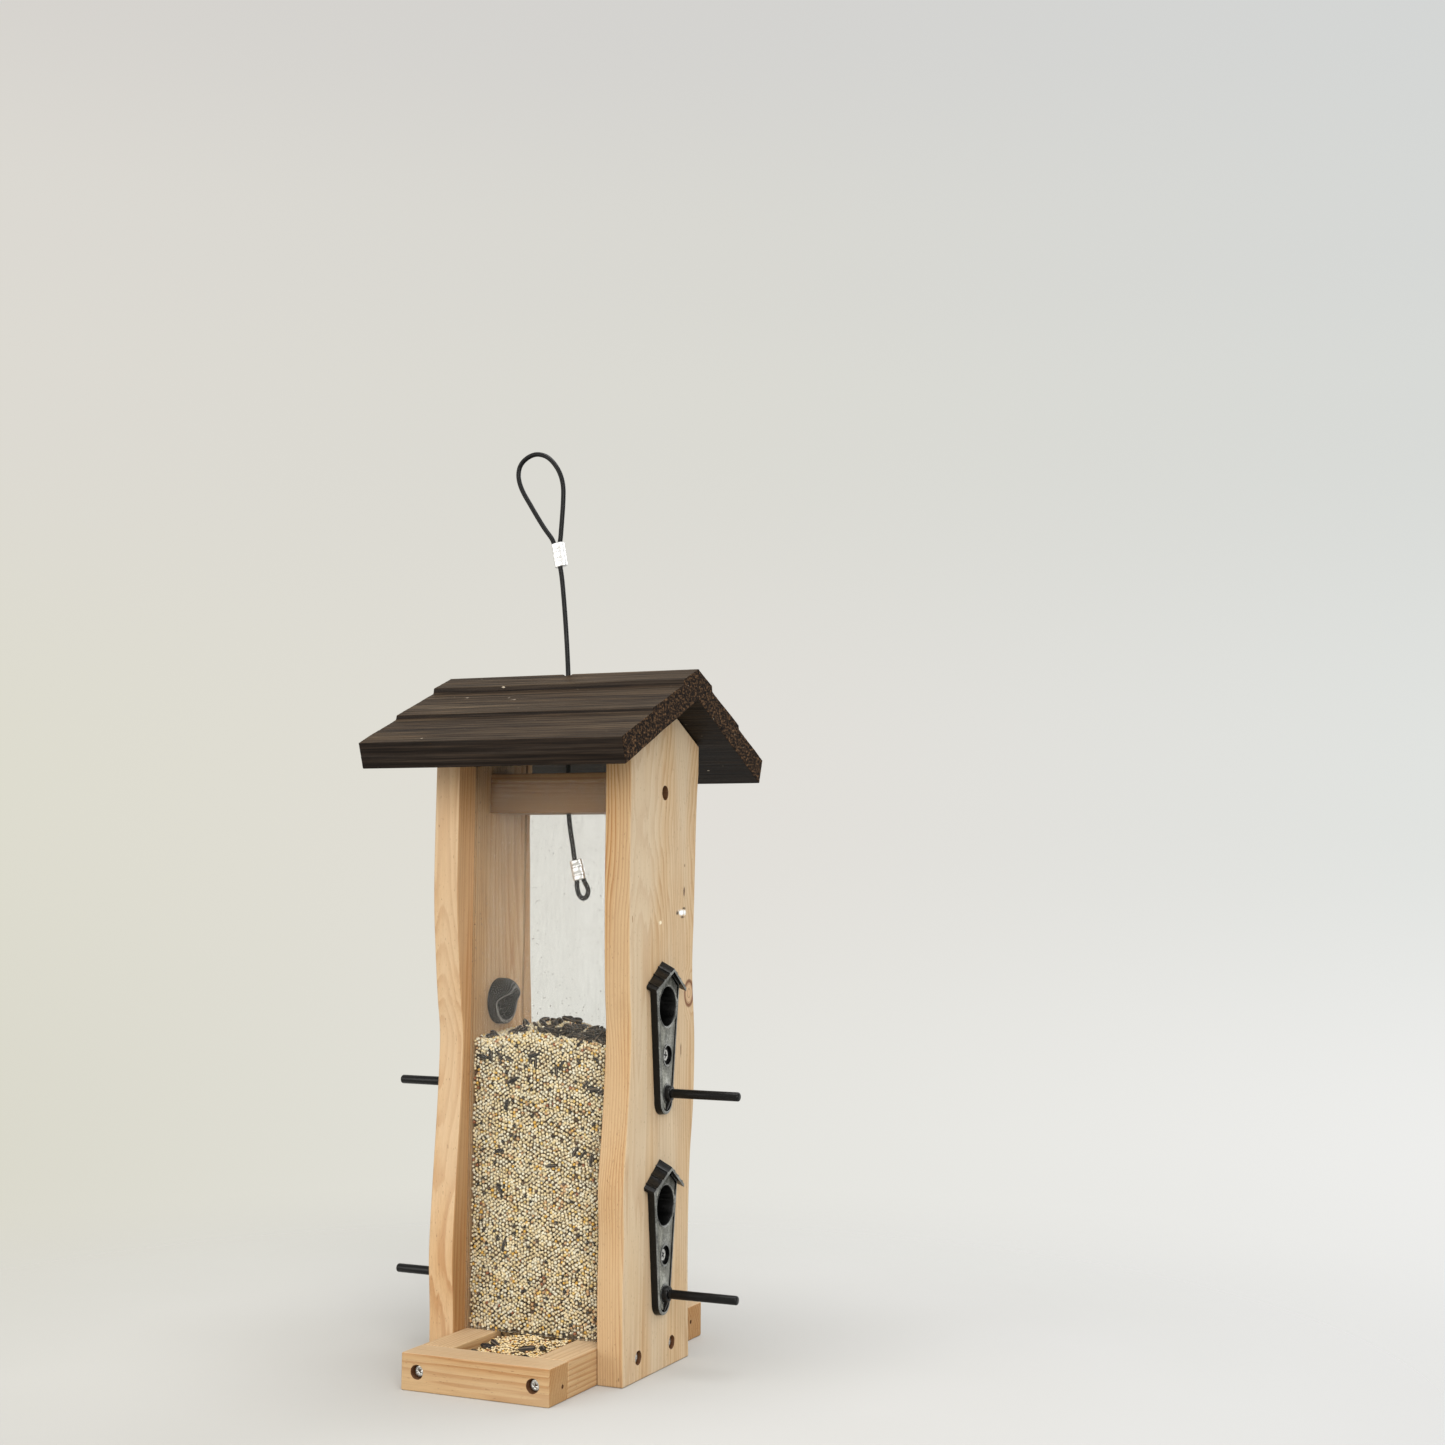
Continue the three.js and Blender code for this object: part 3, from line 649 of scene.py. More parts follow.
# Cords: the steel cable in its black cover, one length down through the roof and two loops ----
CABLE_RADIUS = 1.5
CABLE_ROUTE = [
    (4.3, 304.1), (2.9, 313), (0.9, 323), (-0.4, 333), (-0.9, 345), (-1.1, 357), (-1.4, 380),
    (-1.6, 401), (-2.2, 420), (-3.6, 440), (-5.6, 462), (-8.6, 487.9),
]
UPPER_LOOP = [
    (-12.6, 497.5), (-14.2, 504.6), (-16.8, 508.3), (-20.7, 513), (-26.5, 521.5), (-31.8, 529.8),
    (-37.5, 538.5), (-40.6, 546.5), (-40.5, 552.8), (-38.4, 557), (-34.7, 559.9), (-30.8, 561.5),
    (-26.7, 561.9), (-21, 560.3), (-16.5, 556.8), (-12.6, 552), (-9.9, 546.9), (-8.3, 541.5),
    (-7.8, 536), (-8, 527), (-8.6, 517.5), (-9.1, 510), (-9.5, 504.6), (-10.9, 498.5),
]
LOWER_LOOP = [
    (5.6, 297.5), (6.3, 289.8), (6.3, 287.4), (6.9, 284.4), (8.3, 281.4), (10.8, 279.8),
    (13.3, 281.1), (14.4, 284.3), (13.4, 287.6), (11.1, 290.7), (9.2, 296.5),
]
SPLIT = 4  # the route's point inside the cross beam, where the two cords meet
BEAM_BOTTOM = 3  # the route's points where it leaves the beam
BEAM_TOP = 5
FERRULES = {"upper": ((-8.5, 488.2), (-11.4, 503.4)), "lower": ((8.4, 291.4), (5.4, 303.8))}
FERRULE_WIDTH = 8.4
FERRULE_DEPTH = 5.2
FERRULE_STEPS = 44
ROLL_RADIUS = 0.7
ROLL_NARROWING = 0.9
OVAL_POWER = 0.72  # below 1, so the oval is more box-like than an ellipse
CRIMPS = (0.3, 0.7)  # as shares of the length
CRIMP_REACH = 0.085
CRIMP_DEPTH = 0.95
CRIMP_SPREAD = 0.25


def cord_curve(name, points, material):
    data = bpy.data.curves.new(name, "CURVE")
    data.dimensions = "3D"
    data.bevel_depth = CABLE_RADIUS * MM
    data.bevel_resolution = 6
    data.resolution_u = 6
    data.use_fill_caps = True
    spline = data.splines.new("NURBS")
    spline.points.add(len(points) - 1)
    for point, (x, z) in zip(spline.points, points):
        point.co = (x * MM, 0, z * MM, 1)
    spline.order_u = 3
    spline.use_endpoint_u = True
    data.materials.append(material)
    return add_object(name, data)


def boxy(share, size):
    return math.copysign(abs(share) ** OVAL_POWER, share) * size / 2


def crimped_ferrule(end, material):
    """An oval sleeve pressed flat in two bands, with rolled ends. Its width is in the cable's plane."""
    bottom, top = (Vector((x, 0, z)) for x, z in FERRULES[end])
    length = (top - bottom).length
    rings = []
    for i in range(FERRULE_STEPS + 1):
        share = i / FERRULE_STEPS
        squeeze = sum(math.exp(-((share - crimp) / CRIMP_REACH) ** 2) for crimp in CRIMPS)
        tuck = ROLL_NARROWING * rolled(min(share, 1 - share) * length, ROLL_RADIUS)
        width = FERRULE_WIDTH - tuck + CRIMP_SPREAD * squeeze
        depth = FERRULE_DEPTH - tuck - CRIMP_DEPTH * squeeze
        rings.append([(boxy(c, depth), boxy(s, width), share * length) for c, s in circle(40)])
    sleeve = solid(f"ferrule_{end}_sleeve", aim(loft(rings), bottom, top - bottom), material)
    return take_place(sleeve, f"ferrule_{end}", "cable")


def add_cords():
    cover = cable_cover()
    aluminium = crimped_aluminium()
    sleeves = {end: crimped_ferrule(end, aluminium) for end in FERRULES}
    upper_points = CABLE_ROUTE[SPLIT:] + UPPER_LOOP
    lower_points = CABLE_ROUTE[SPLIT::-1] + LOWER_LOOP
    for name, end, points, leaves_beam, lay in (
        ("hanging_cable", "upper", upper_points, BEAM_TOP, "taut"),
        ("cable_end", "lower", lower_points, BEAM_BOTTOM, "hanging"),
    ):
        piece = cord_curve(name, points, cover)
        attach(piece, "cable")
        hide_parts("cable", f"cable_{end}_loop")


# Fasteners -------------------------------------------------------------
WOOD_SCREW = {"head": 3.1, "shank": 1.5, "head_depth": 2.4}
PORT_SCREW = {"head": 4.1, "shank": 1.6, "head_depth": 1.8}
THREAD_PITCH = 1.5
HEAD_RAISED = {  # how much further out than the CAD head
    "port_screw": 1.4, "board_screw": -0.6, "beam_screw": -0.6, "rail_screw": -1.7, "floor_nail": -0.6,
}
NAIL_LENGTH = 28
NAIL_HEAD = 1.5
NAIL_SHANK = 0.8
SCREW_TURN = 2.4  # from one screw's cross to the next one's, in radians


def ragged_hole(place, outward, bore, depth, seed, material, flare=0.35):
    """A cutter for a drilled hole whose rim is a little ragged; its material colours the hole's walls."""
    profile = [
        (0, -depth), (bore * 0.9, -depth), (bore * 0.96, -0.9), (bore, -0.35),
        (bore + flare, 0.08), (bore + flare, 3), (0, 3),
    ]
    return solid("hole", aim(lathe(profile, 44, 0.05, seed), place, outward), material)


def cross_cutter(arm, width, depth):
    """The two tapered blades of a screwdriver's cross, pointing down from z = 0."""
    blades = []
    for swap in (False, True):
        rings = []
        for z, share in ((-depth, 0.35), (0.6, 1.05)):
            x, y = (width / 2, arm * share) if swap else (arm * share, width / 2)
            rings.append([(-x, -y, z), (x, -y, z), (x, y, z), (-x, y, z)])
        blades.append(solid("blade", loft(rings)))
    return blades


def screw(length, material, head, shank, head_depth):
    """A countersunk cross-head screw with its head's face at z = 0 and its point downwards.

    Rings stand for its thread, which is out of sight in the wood.
    """
    core = shank * 0.72
    profile = [(0, -length), (core * 0.5, -length + 1.2)]
    z = -length + 3.0
    while z < -head_depth - 4.5:
        profile += [(core, z), (shank, z + THREAD_PITCH * 0.42), (core, z + THREAD_PITCH * 0.84)]
        z += THREAD_PITCH
    profile += [
        (shank * 0.86, z + 0.3), (shank * 0.86, -head_depth - 0.3), (shank, -head_depth),
        (head * 0.96, -0.42), (head, -0.28), (head * 0.97, -0.08), (head * 0.8, 0.0), (0, 0.06),
    ]
    made = solid("screw", lathe(profile, 28), material)
    combine(made, "DIFFERENCE", cross_cutter(head * 0.56, head * 0.27, head * 0.5))
    return soften(made, 0.05, 1, 55)


def nail(material):
    return solid("nail", lathe([
        (0, -NAIL_LENGTH), (NAIL_SHANK, -NAIL_LENGTH + 2.4), (NAIL_SHANK, -0.9),
        (NAIL_SHANK * 1.15, -0.6), (NAIL_HEAD, -0.42), (NAIL_HEAD, -0.12), (NAIL_HEAD * 0.9, 0.0),
        (0, 0.02),
    ], 24), material)


def outward_of(node):
    """The way a fastener's head faces, from its name."""
    if node.startswith("rail_screw"):
        return Vector((0, ENDS["front" if "front" in node else "back"], 0))
    if node.startswith("ridge_nail"):
        return Vector((0, 0.94, 0.34)).normalized()
    return Vector((SIDES["left" if "left" in node else "right"], 0, 0))


def head_place(node, way):
    """The middle of a fastener's head face, from the CAD box."""
    if node.startswith("ridge_nail"):
        return middle(node) + way * (NAIL_LENGTH / 2) + Vector((0, 0, 0.15))
    lo, hi = extent(node)
    kind = "_".join(node.split("_")[:2])
    return middle(node) + Vector(way[i] * ((hi - lo)[i] / 2 + HEAD_RAISED[kind]) for i in range(3))


def add_fasteners():
    steel = zinc_steel("zinc_steel", 1.0)
    chalky = zinc_steel("chalky_zinc", 0.35)
    meshes = {}
    for index, node in enumerate(sorted(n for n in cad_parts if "screw" in n or "nail" in n)):
        lo, hi = extent(node)
        length = round(max(hi - lo), 1)
        kind = "nail" if "nail" in node else "port" if node.startswith("port") else length
        if kind not in meshes:
            if kind == "nail":
                model = nail(steel)
            elif kind == "port":
                model = screw(length, chalky, **PORT_SCREW)
            else:
                model = screw(length, steel, **WOOD_SCREW)
            meshes[kind] = model.data
            bpy.data.objects.remove(model)
        piece = add_object(f"{node}_steel", meshes[kind].copy())
        way = outward_of(node)
        turn = way.to_track_quat("Z", "Y") @ Quaternion((0, 0, 1), index * SCREW_TURN)
        piece.matrix_world = Matrix.Translation(head_place(node, way) * MM) @ turn.to_matrix().to_4x4()
        take_place(piece, node, "roof" if node.startswith("ridge_nail") else "housing")


# Timber ----------------------------------------------------------------
GROOVE_DEPTH = 4
GROOVE_SLACK = 0.3  # each side of a pane
BORE_RADIUS = 13.2
SCREW_BORE = 3.9
HOLE_DEPTH = 4.2
BEAM_SCREW_BORE = 4.2
BEAM_SCREW_DEPTH = 9.5
CABLE_BORE = 3.9
CABLE_BORE_X = -0.4
RIM_BAND = 33  # a board's rim vertices lie further out than this
RIM_TOP = 352  # or higher than this
TIMBER_UNEVENNESS = 0.22
# scuffs and cracks, for the right board's outer face: y, z, radius, how tall, colour
BOARD_MARKS = [
    (28.5, 272, 5.6, 0.34, (254, 253, 248)),  # torn white fibres round a hole
    (21.6, 271.6, 1.9, 0.7, (34, 24, 18)),
    (31, 274.6, 2.4, 0.34, (66, 48, 34)),
    (29.4, 269.2, 2.8, 0.3, (74, 54, 38)),
    (31, 285, 1.3, 2.4, (84, 56, 36)),
    (31.6, 301, 1.1, 1.0, (140, 108, 78)),
    (-3, 266, 2.0, 0.6, (246, 226, 190)),
    (29, 188, 0.8, 4.6, (104, 72, 46)),
    (-41, 268, 0.6, 5.0, (150, 112, 76)),
]
# small holes in the tray rails' right-hand ends: place and radius
PIN_HOLES = {"front": ((48, -87, 8.5), 1.1), "back": ((48, 86, 11.5), 1.2)}


def rim_points(side):
    """A side board's wavy outline (y, z), from its CAD outer face."""
    found = set()
    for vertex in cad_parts[f"side_board_{side}"].data.vertices:
        x, y, z = vertex.co / MM
        if abs(x - SIDES[side] * OUTER_FACE) < 0.01 and (abs(y) > RIM_BAND or z > RIM_TOP):
            found.add((round(y, 2), round(z, 2)))
    front = sorted((p for p in found if p[0] < -RIM_BAND), key=lambda p: p[1])
    back = sorted((p for p in found if p[0] > RIM_BAND), key=lambda p: -p[1])
    apex = max(found, key=lambda p: p[1])
    return front, apex, back


def through(points, steps=4):
    """A smooth line through the points."""
    points = [Vector(p) for p in points]
    padded = [2 * points[0] - points[1], *points, 2 * points[-1] - points[-2]]
    line = []
    for p0, p1, p2, p3 in zip(padded, padded[1:], padded[2:], padded[3:]):
        for i in range(steps):
            t = i / steps
            line.append(0.5 * (2 * p1 + (p2 - p0) * t + (2 * p0 - 5 * p1 + 4 * p2 - p3) * t * t
                               + (3 * p1 - p0 - 3 * p2 + p3) * t ** 3))
    return line + [points[-1]]


def side_board(side, material, torn_and_shaded):
    sign = SIDES[side]
    front, apex, back = rim_points(side)
    x0, x1 = sorted((sign * INNER_FACE, sign * OUTER_FACE))
    outline = [*through(front), apex, *through(back)]
    board = solid(f"{side}_board", prism(outline, x0, x1), material)
    soften(board, 1.1, 3, 50)
    cutters = []
    for way in ENDS.values():
        near, far = sorted((way * (PANE_INNER - GROOVE_SLACK), way * (PANE_OUTER + GROOVE_SLACK)))
        left, right = sorted((sign * (INNER_FACE - 2), sign * (INNER_FACE + GROOVE_DEPTH)))
        cutters.append(solid("groove", box((left, near, RAIL_TOP - 0.3), (right, far, RIDGE_TOP))))
    for height in PORT_HEIGHT.values():
        cutters.append(across_rod("bore", BORE_RADIUS, x0 - 2, x1 + 2, height))
    holes = [(f"board_screw_{side}_{end}", SCREW_BORE, HOLE_DEPTH, i) for i, end in enumerate(ENDS)]
    holes.append((f"beam_screw_{side}", BEAM_SCREW_BORE, BEAM_SCREW_DEPTH, 7))
    for node, bore, depth, seed in holes:
        place = middle(node)
        place.x = sign * OUTER_FACE
        cutters.append(ragged_hole(place, (sign, 0, 0), bore, depth, seed + sign, torn_and_shaded))
    combine(board, "DIFFERENCE", cutters)
    take_place(even_shading(board), f"side_board_{side}")


def plank(name, node, material, cutters=()):
    """A straight piece of timber in the CAD node's box, a little uneven, with eased edges."""
    lo, hi = extent(node)
    piece = solid(name, box(lo, hi), material)
    bm = bmesh.new()
    bm.from_mesh(piece.data)
    bmesh.ops.subdivide_edges(bm, edges=bm.edges, cuts=3, use_grid_fill=True)
    for vertex in bm.verts:
        vertex.co += noise.noise_vector(vertex.co / MM * 0.021) * TIMBER_UNEVENNESS * MM
        for i in range(3):
            vertex.co[i] = min(max(vertex.co[i], lo[i] * MM), hi[i] * MM)
    bm.to_mesh(piece.data)
    bm.free()
    soften(piece, 0.9, 3, 50)
    if cutters:
        combine(piece, "DIFFERENCE", cutters)
    take_place(even_shading(piece), node)


def add_timber():
    boards = {
        "left": wood("pine_left_board", "Z", (-92, 34), 2.6, 34, (260, 258, 256), 0.45, lip_shade=True),
        # the right board's paler, cooler tint is partly painted sheen from the light on its outer face; edge
        # keeps its front and back faces warmer
        "right": wood("pine_right_board", "Z", (150, -22), 2.4, 38, (266, 276, 287), 0.55,
                      knots=[((60, 40, 222), "X", 6.4, 1.22)], marks=BOARD_MARKS,
                      hidden=[((70, 0, 322), "Y", 11, 2.4), ((46, 0, 158), "Y", 9, 2.8)],
                      edge=(238, 224, 205), lip_shade=True),
    }
    along_x = wood("pine_tray_rails", "X", (0, -24), 2.5, 22, (240, 234, 222), painted_top_light=0.3)
    # the beam's darker tint is painted shade from the roof above it
    beam = wood("pine_beam", "X", (26, 300), 2.2, 20, (188, 168, 140))
    along_y = wood("pine_base_rails", "Y", (52, 0), 2.3, 20, (252, 251, 245), painted_top_light=0.16)
    floor = wood("pine_floor", "Y", (-60, 10), 3.0, 24, (236, 228, 214))
    # hole walls: torn wood, made darker still as painted shade inside the holes
    torn_and_shaded = wood("torn_and_shaded_pine", "X", (80, 0), 2.0, 30, (116, 92, 72))
    for side in SIDES:
        side_board(side, boards[side], torn_and_shaded)
        plank(f"{side}_base_rail", f"base_rail_{side}", along_y)
    for end, way in ENDS.items():
        place, radius = PIN_HOLES[end]
        cutters = [ragged_hole(place, (1, 0, 0), radius, 5, place[1], torn_and_shaded, 0.15)]
        for side in SIDES:
            place = middle(f"rail_screw_{end}_{side}")
            place.y = way * TRAY_OUTER
            seed = way + place.x
            cutters.append(ragged_hole(place, (0, way, 0), SCREW_BORE, HOLE_DEPTH, seed, torn_and_shaded))
        plank(f"{end}_tray_rail", f"tray_rail_{end}", along_x, cutters)
    plank("tray_floor", "floor_board", floor)
    height = middle("cross_beam").z
    bore = upright_rod("bore", CABLE_BORE, CABLE_BORE_X, height - 20, height + 20)
    plank("beam", "cross_beam", beam, [bore])


# Roof ------------------------------------------------------------------
ROOF_HOLE_X = -2.4
ROOF_HOLE_RADIUS = 3.5
BRUSH_SPACING = 0.9  # between the profile's points, fine enough to carry brushed grain
STATION = 3.5  # between the profiles along the ridge
END_STATIONS = (0, 0.3, 0.8)  # the profiles nearest each gable end, measured from it
END_ROUND = 0.7
CORNER_ROUND = 0.8
GRAIN_RELIEF = 0.16
WARP = 0.3
WORN_AWAY = 0.15
MITRE_BAND = 0.6  # the mitre faces lie nearer the ridge's plane than this
FIRST_COURSE_LONGER = 1.5  # than the CAD course, down to where the photo shows its edge


def end_profile(node):
    """The corners (y, z) of a roof panel's gable end: the top from the ridge down, then the underside."""
    corners = {(round(v.co.y / MM, 2), round(v.co.z / MM, 2))
               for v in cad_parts[node].data.vertices if abs(v.co.x / MM - ROOF_END) < 0.01}
    lowest = min(corners, key=lambda c: c[1])
    inner = min((c for c in corners if c[1] < RIDGE_TOP - 10), key=lambda c: abs(c[0]))
    top = sorted(corners - {lowest, inner}, key=lambda c: abs(c[0]))
    ridge, nose, foot, after = (Vector(c) for c in top[:4])
    top[1] = nose + (nose - ridge).normalized() * FIRST_COURSE_LONGER
    top[2] = foot + (after - foot).normalized() * FIRST_COURSE_LONGER
    return [Vector(c) for c in (*top, lowest, inner)]


def rounded(corners, radius):
    """Each corner becomes a short arc of five points."""
    points = []
    for before, here, after in zip(corners[-1:] + corners, corners, corners[1:] + corners[:1]):
        into, out = before - here, after - here
        reach = min(radius, into.length / 3, out.length / 3)
        start = here + into.normalized() * reach
        stop = here + out.normalized() * reach
        for k in range(5):
            t = k / 4
            points.append((1 - t) ** 2 * start + 2 * t * (1 - t) * here + t * t * stop)
    return points


def densified(points, spacing):
    """The outline with points no further apart than spacing, and each point's outward normal."""
    edges = list(zip(points, points[1:] + points[:1]))
    turn = math.copysign(1, sum(here.cross(after) for here, after in edges))
    line = []
    for here, after in edges:
        along = after - here
        steps = max(1, round(along.length / spacing))
        normal = Vector((along.y, -along.x)).normalized() * turn if along.length else Vector((0, 1))
        line += [(here + along * k / steps, normal) for k in range(steps)]
    return line


def brushed_ring(x, outline):
    """The roof's profile at x, moved by the brushed grain and drawn in at the ends."""
    tuck = END_ROUND * rolled(ROOF_END - abs(x), END_ROUND)
    ring = []
    for point, normal in outline:
        grain = noise.noise(Vector((x * 0.022, point.x * 0.8, point.y * 0.8))) * GRAIN_RELIEF
        wave = noise.noise(Vector((x * 0.012, point.x * 0.05, 3.0))) * WARP
        shift = grain + wave - tuck - WORN_AWAY
        if abs(point.x) < MITRE_BAND:
            shift = min(shift, 0) * 0.2  # the mitre faces stay true
        ring.append((x, *(point + normal * shift)))
    return ring


def add_roof():
    stain = stained_wood("stained_pine")
    count = round(2 * ROOF_END / STATION)
    near_end = [ROOF_END - gap for gap in END_STATIONS]
    stations = [-x for x in near_end] + [ROOF_END * (2 * i / count - 1) for i in range(1, count)]
    for end in ENDS:
        node = f"roof_panel_{end}"
        outline = densified(rounded(end_profile(node), CORNER_ROUND), BRUSH_SPACING)
        rings = [brushed_ring(x, outline) for x in stations + near_end[::-1]]
        panel = solid(f"{end}_roof_panel", loft(rings), stain)
        bore = upright_rod("bore", ROOF_HOLE_RADIUS, ROOF_HOLE_X, RIDGE_TOP - 40, RIDGE_TOP + 10)
        combine(panel, "DIFFERENCE", [bore])
        take_place(even_shading(panel), node, "roof")


# Feeding ports: drawn for the right-hand board, x out from its face, the hole's centre at y = z = 0 ----
PLATE_THICKNESS = 4.8
PLATE_APEX = 24.4
PLATE_SHOULDER = (16.2, 13.2)
# the plate's rounded edge: how far it is inset, at each height above the board
PLATE_EDGE = ((-0.25, 0.15), (0.0, 3.6), (0.12, 4.3), (0.38, 4.65), (0.75, PLATE_THICKNESS))
FACE_LEVEL = 4.4  # of the textured face, a little below the rim
FOOT_RADIUS = 8.2
FOOT_DROP = 56.2
HOLE_RADIUS = 11.6
SLEEVE_RADIUS = 12.9
SCREW_DROP = 29.1
SCREW_SEAT = 3.2
RECESS_RADIUS = 5.6
PERCH_DROP = 51.7
PERCH_RADIUS = 2.8
PERCH_REACH = 52
HOOD_RADIUS = 14.2
HOOD_BORE = 11.704
HOOD_RING = 6
HOOD_REACH = 16  # of the CAD hood
HOOD_SIDES = 72
HOOD_STEPS = 16
HOOD_ROOT = INNER_FACE - OUTER_FACE - 0.3
VISOR_REACH = 12.5
ROOFLET_HALF_WIDTH = 21.2
ROOFLET_APEX = 27
ROOFLET_EAVE = 12.8
ROOFLET_THICKNESS = 1.9
ROOFLET_ROOT = 0.17
ROOFLET_REACH = (8.6, 6.9)  # out from the board, at the ridge and at the eaves
ROOFLET_FALL = (4.3, 2.6)


def plate_outline():
    """The plate's outline (y, z), clockwise from its apex."""
    across, shoulder = PLATE_SHOULDER
    points = [(0, PLATE_APEX), (across, shoulder)]
    for i in range(25):
        angle = -math.pi * i / 24
        points.append((FOOT_RADIUS * math.cos(angle), FOOT_RADIUS * math.sin(angle) - FOOT_DROP))
    return [Vector(p) for p in (*points, (-across, shoulder))]


def inset(points, distance):
    """A convex clockwise outline moved inwards by distance."""
    lines = []
    for here, after in zip(points, points[1:] + points[:1]):
        along = (after - here).normalized()
        lines.append((here + Vector((along.y, -along.x)) * distance, along))
    moved = []
    for (a, u), (b, v) in zip(lines[-1:] + lines, lines):
        straight = abs(u.cross(v)) < 1e-6
        moved.append(b if straight else a + u * ((b - a).cross(v) / u.cross(v)))
    return moved


def between(ends, share):
    return ends[0] + (ends[1] - ends[0]) * share


def rooflet():
    """The little gable over the hole: three ribs on each slope, falling as it reaches out."""
    apex = Vector((0, ROOFLET_APEX))
    eave = Vector((ROOFLET_HALF_WIDTH, ROOFLET_EAVE))
    step = (eave - apex).normalized()
    normal = Vector((-step.y, step.x))
    slope = [apex]
    for share in (0.24, 0.54, 0.86):
        foot = apex.lerp(eave, share)
        slope += [foot - step * 1.1, foot - step * 0.3 + normal * 0.55,
                  foot + step * 0.3 + normal * 0.5, foot + step * 0.5]
    slope.append(eave)
    drop = Vector((0, -ROOFLET_THICKNESS))
    outline = [Vector((-p.x, p.y)) for p in slope[:0:-1]] + slope
    outline += [eave - Vector((0.3, 0)) + drop, apex + drop, Vector((0.3 - eave.x, eave.y)) + drop]
    rings = []
    for out in (0, 1):
        ring = []
        for p in outline:
            aside = min(abs(p.x) / ROOFLET_HALF_WIDTH, 1)
            reach = between((ROOFLET_ROOT, between(ROOFLET_REACH, aside)), out)
            ring.append((reach, p.x, p.y - between(ROOFLET_FALL, aside) * out))
        rings.append(ring)
    return solid("rooflet", loft(rings))


def turned(name, profile, sides, x=0, z=0):
    """A turned shape that points out of the plate, with its foot at x and z."""
    return solid(name, aim(lathe(profile, sides), (x, 0, z), (1, 0, 0)))


def bosses(*radii):
    """Rods round the hole, the screw and the perch."""
    drops = (0, SCREW_DROP, PERCH_DROP)
    return [across_rod("boss", radius, 2, 9, -drop) for radius, drop in zip(radii, drops)]


def port_plate(gloss, face, rim_highlight):
    """Moulded plate: raised rim, channel, textured face, bossed hole, screw seat, perch collar."""
    outline = plate_outline()
    edge = [layer(inset(outline, margin), x) for margin, x in PLATE_EDGE]
    body = solid("plate", loft(edge), gloss, face, rim_highlight)
    channel = solid("channel", prism(inset(outline, 1.9), 3.3, 8))
    island = solid("island", prism(inset(outline, 3.0), 2, 9))
    combine(channel, "DIFFERENCE", [island, *bosses(13.5, 7.0, 6.2)])
    plateau = solid("plateau", prism(inset(outline, 2.5), FACE_LEVEL, 8))
    combine(plateau, "DIFFERENCE", bosses(12.9, 6.7, 5.9))
    combine(body, "DIFFERENCE", [channel, plateau])
    sleeve = across_rod("sleeve", SLEEVE_RADIUS, INNER_FACE - OUTER_FACE - 0.1, 3.9, 0)
    collar = turned("collar", [
        (0, 0), (5.5, 0), (5.4, 1.3), (4.75, 1.9), (4.6, 4.0), (4.35, 4.5), (3.9, 4.7), (0, 4.7),
    ], 48, 3.3, -PERCH_DROP)
    gusset = solid("gusset", loft([
        [(x, y, -PERCH_DROP - drop) for x, drop in ((3.4, 1), (7.2, 2), (7.0, 4.6), (4.7, 10.2), (3.4, 10.2))]
        for y in (-1.1, 1.1)
    ]))
    combine(body, "UNION", [sleeve, collar, soften(gusset, 0.25), rooflet()], careful=True)
    hole = turned("hole", [
        (0, -20), (HOLE_RADIUS, -20), (HOLE_RADIUS, 3.7), (HOLE_RADIUS + 0.35, 4.3),
        (HOLE_RADIUS + 1.0, PLATE_THICKNESS), (HOLE_RADIUS + 1.0, 12), (0, 12),
    ], 72)
    seat = turned("seat", [
        (0, 0), (RECESS_RADIUS, 0), (RECESS_RADIUS, 2.5), (RECESS_RADIUS + 0.6, 3.1),
        (RECESS_RADIUS + 0.6, 6), (0, 6),
    ], 56, SCREW_SEAT, -SCREW_DROP)
    socket = across_rod("socket", PERCH_RADIUS + 0.12, 1.6, 12, -PERCH_DROP, 48)
    combine(body, "DIFFERENCE", [hole, seat, socket], careful=True)
    for polygon in body.data.polygons:
        x, z = polygon.center.x / MM, polygon.center.z / MM
        on_rim = FACE_LEVEL < x < PLATE_THICKNESS + 0.1
        on_rooflet = z > 9 and x > 6
        if polygon.normal.x > 0.95 and abs(x - FACE_LEVEL) < 0.1:
            polygon.material_index = 1
        # outward faces of the rim and the rooflet get the lighter rim material: a painted highlight
        elif polygon.normal.x > 0.4 and (on_rim or on_rooflet):
            polygon.material_index = 2
    return soften(body, 0.14, 2, 32)


def perch(material):
    """A round perch with a fine mould line and a chamfered tip."""
    root = PLATE_THICKNESS - 3.0
    bm = lathe([(0, root)] + [(PERCH_RADIUS - less, along) for less, along in (
        (0.3, root), (0, root + 0.5), (0, 9.2), (0.12, 9.6), (0.04, 10.2),
        (0.1, PERCH_REACH - 0.95), (0.3, PERCH_REACH - 0.45), (0.75, PERCH_REACH - 0.08),
        (0.95, PERCH_REACH),
    )] + [(0, PERCH_REACH)], 56)
    for vertex in bm.verts:
        angle = math.atan2(vertex.co.y, vertex.co.x)
        seam = math.exp(-((abs(angle) - math.pi / 2) / 0.07) ** 2)
        vertex.co.xy *= 1 + 0.012 * seam
    return solid("perch", aim(bm, (0, 0, -PERCH_DROP), (1, 0, 0)), material)


def hood_ring(radius, share):
    """A ring of the hood, at a share of its reach. It droops and narrows as it reaches out."""
    ring = []
    for up, across in circle(HOOD_SIDES):
        rise = min(max((up * HOOD_RADIUS + 2) / 11, 0), 1)
        out = between((HOOD_RING, VISOR_REACH), rise * rise * (3 - 2 * rise)) * share
        past = max(0.0, out - HOOD_RING * 0.7) / (VISOR_REACH - HOOD_RING * 0.7)
        y = radius * across * (1 - 0.5 * past * past)
        z = radius * up * (1 - 0.34 * past * past * (up > 0))
        ring.append((HOOD_ROOT - out, y, z))
    return ring


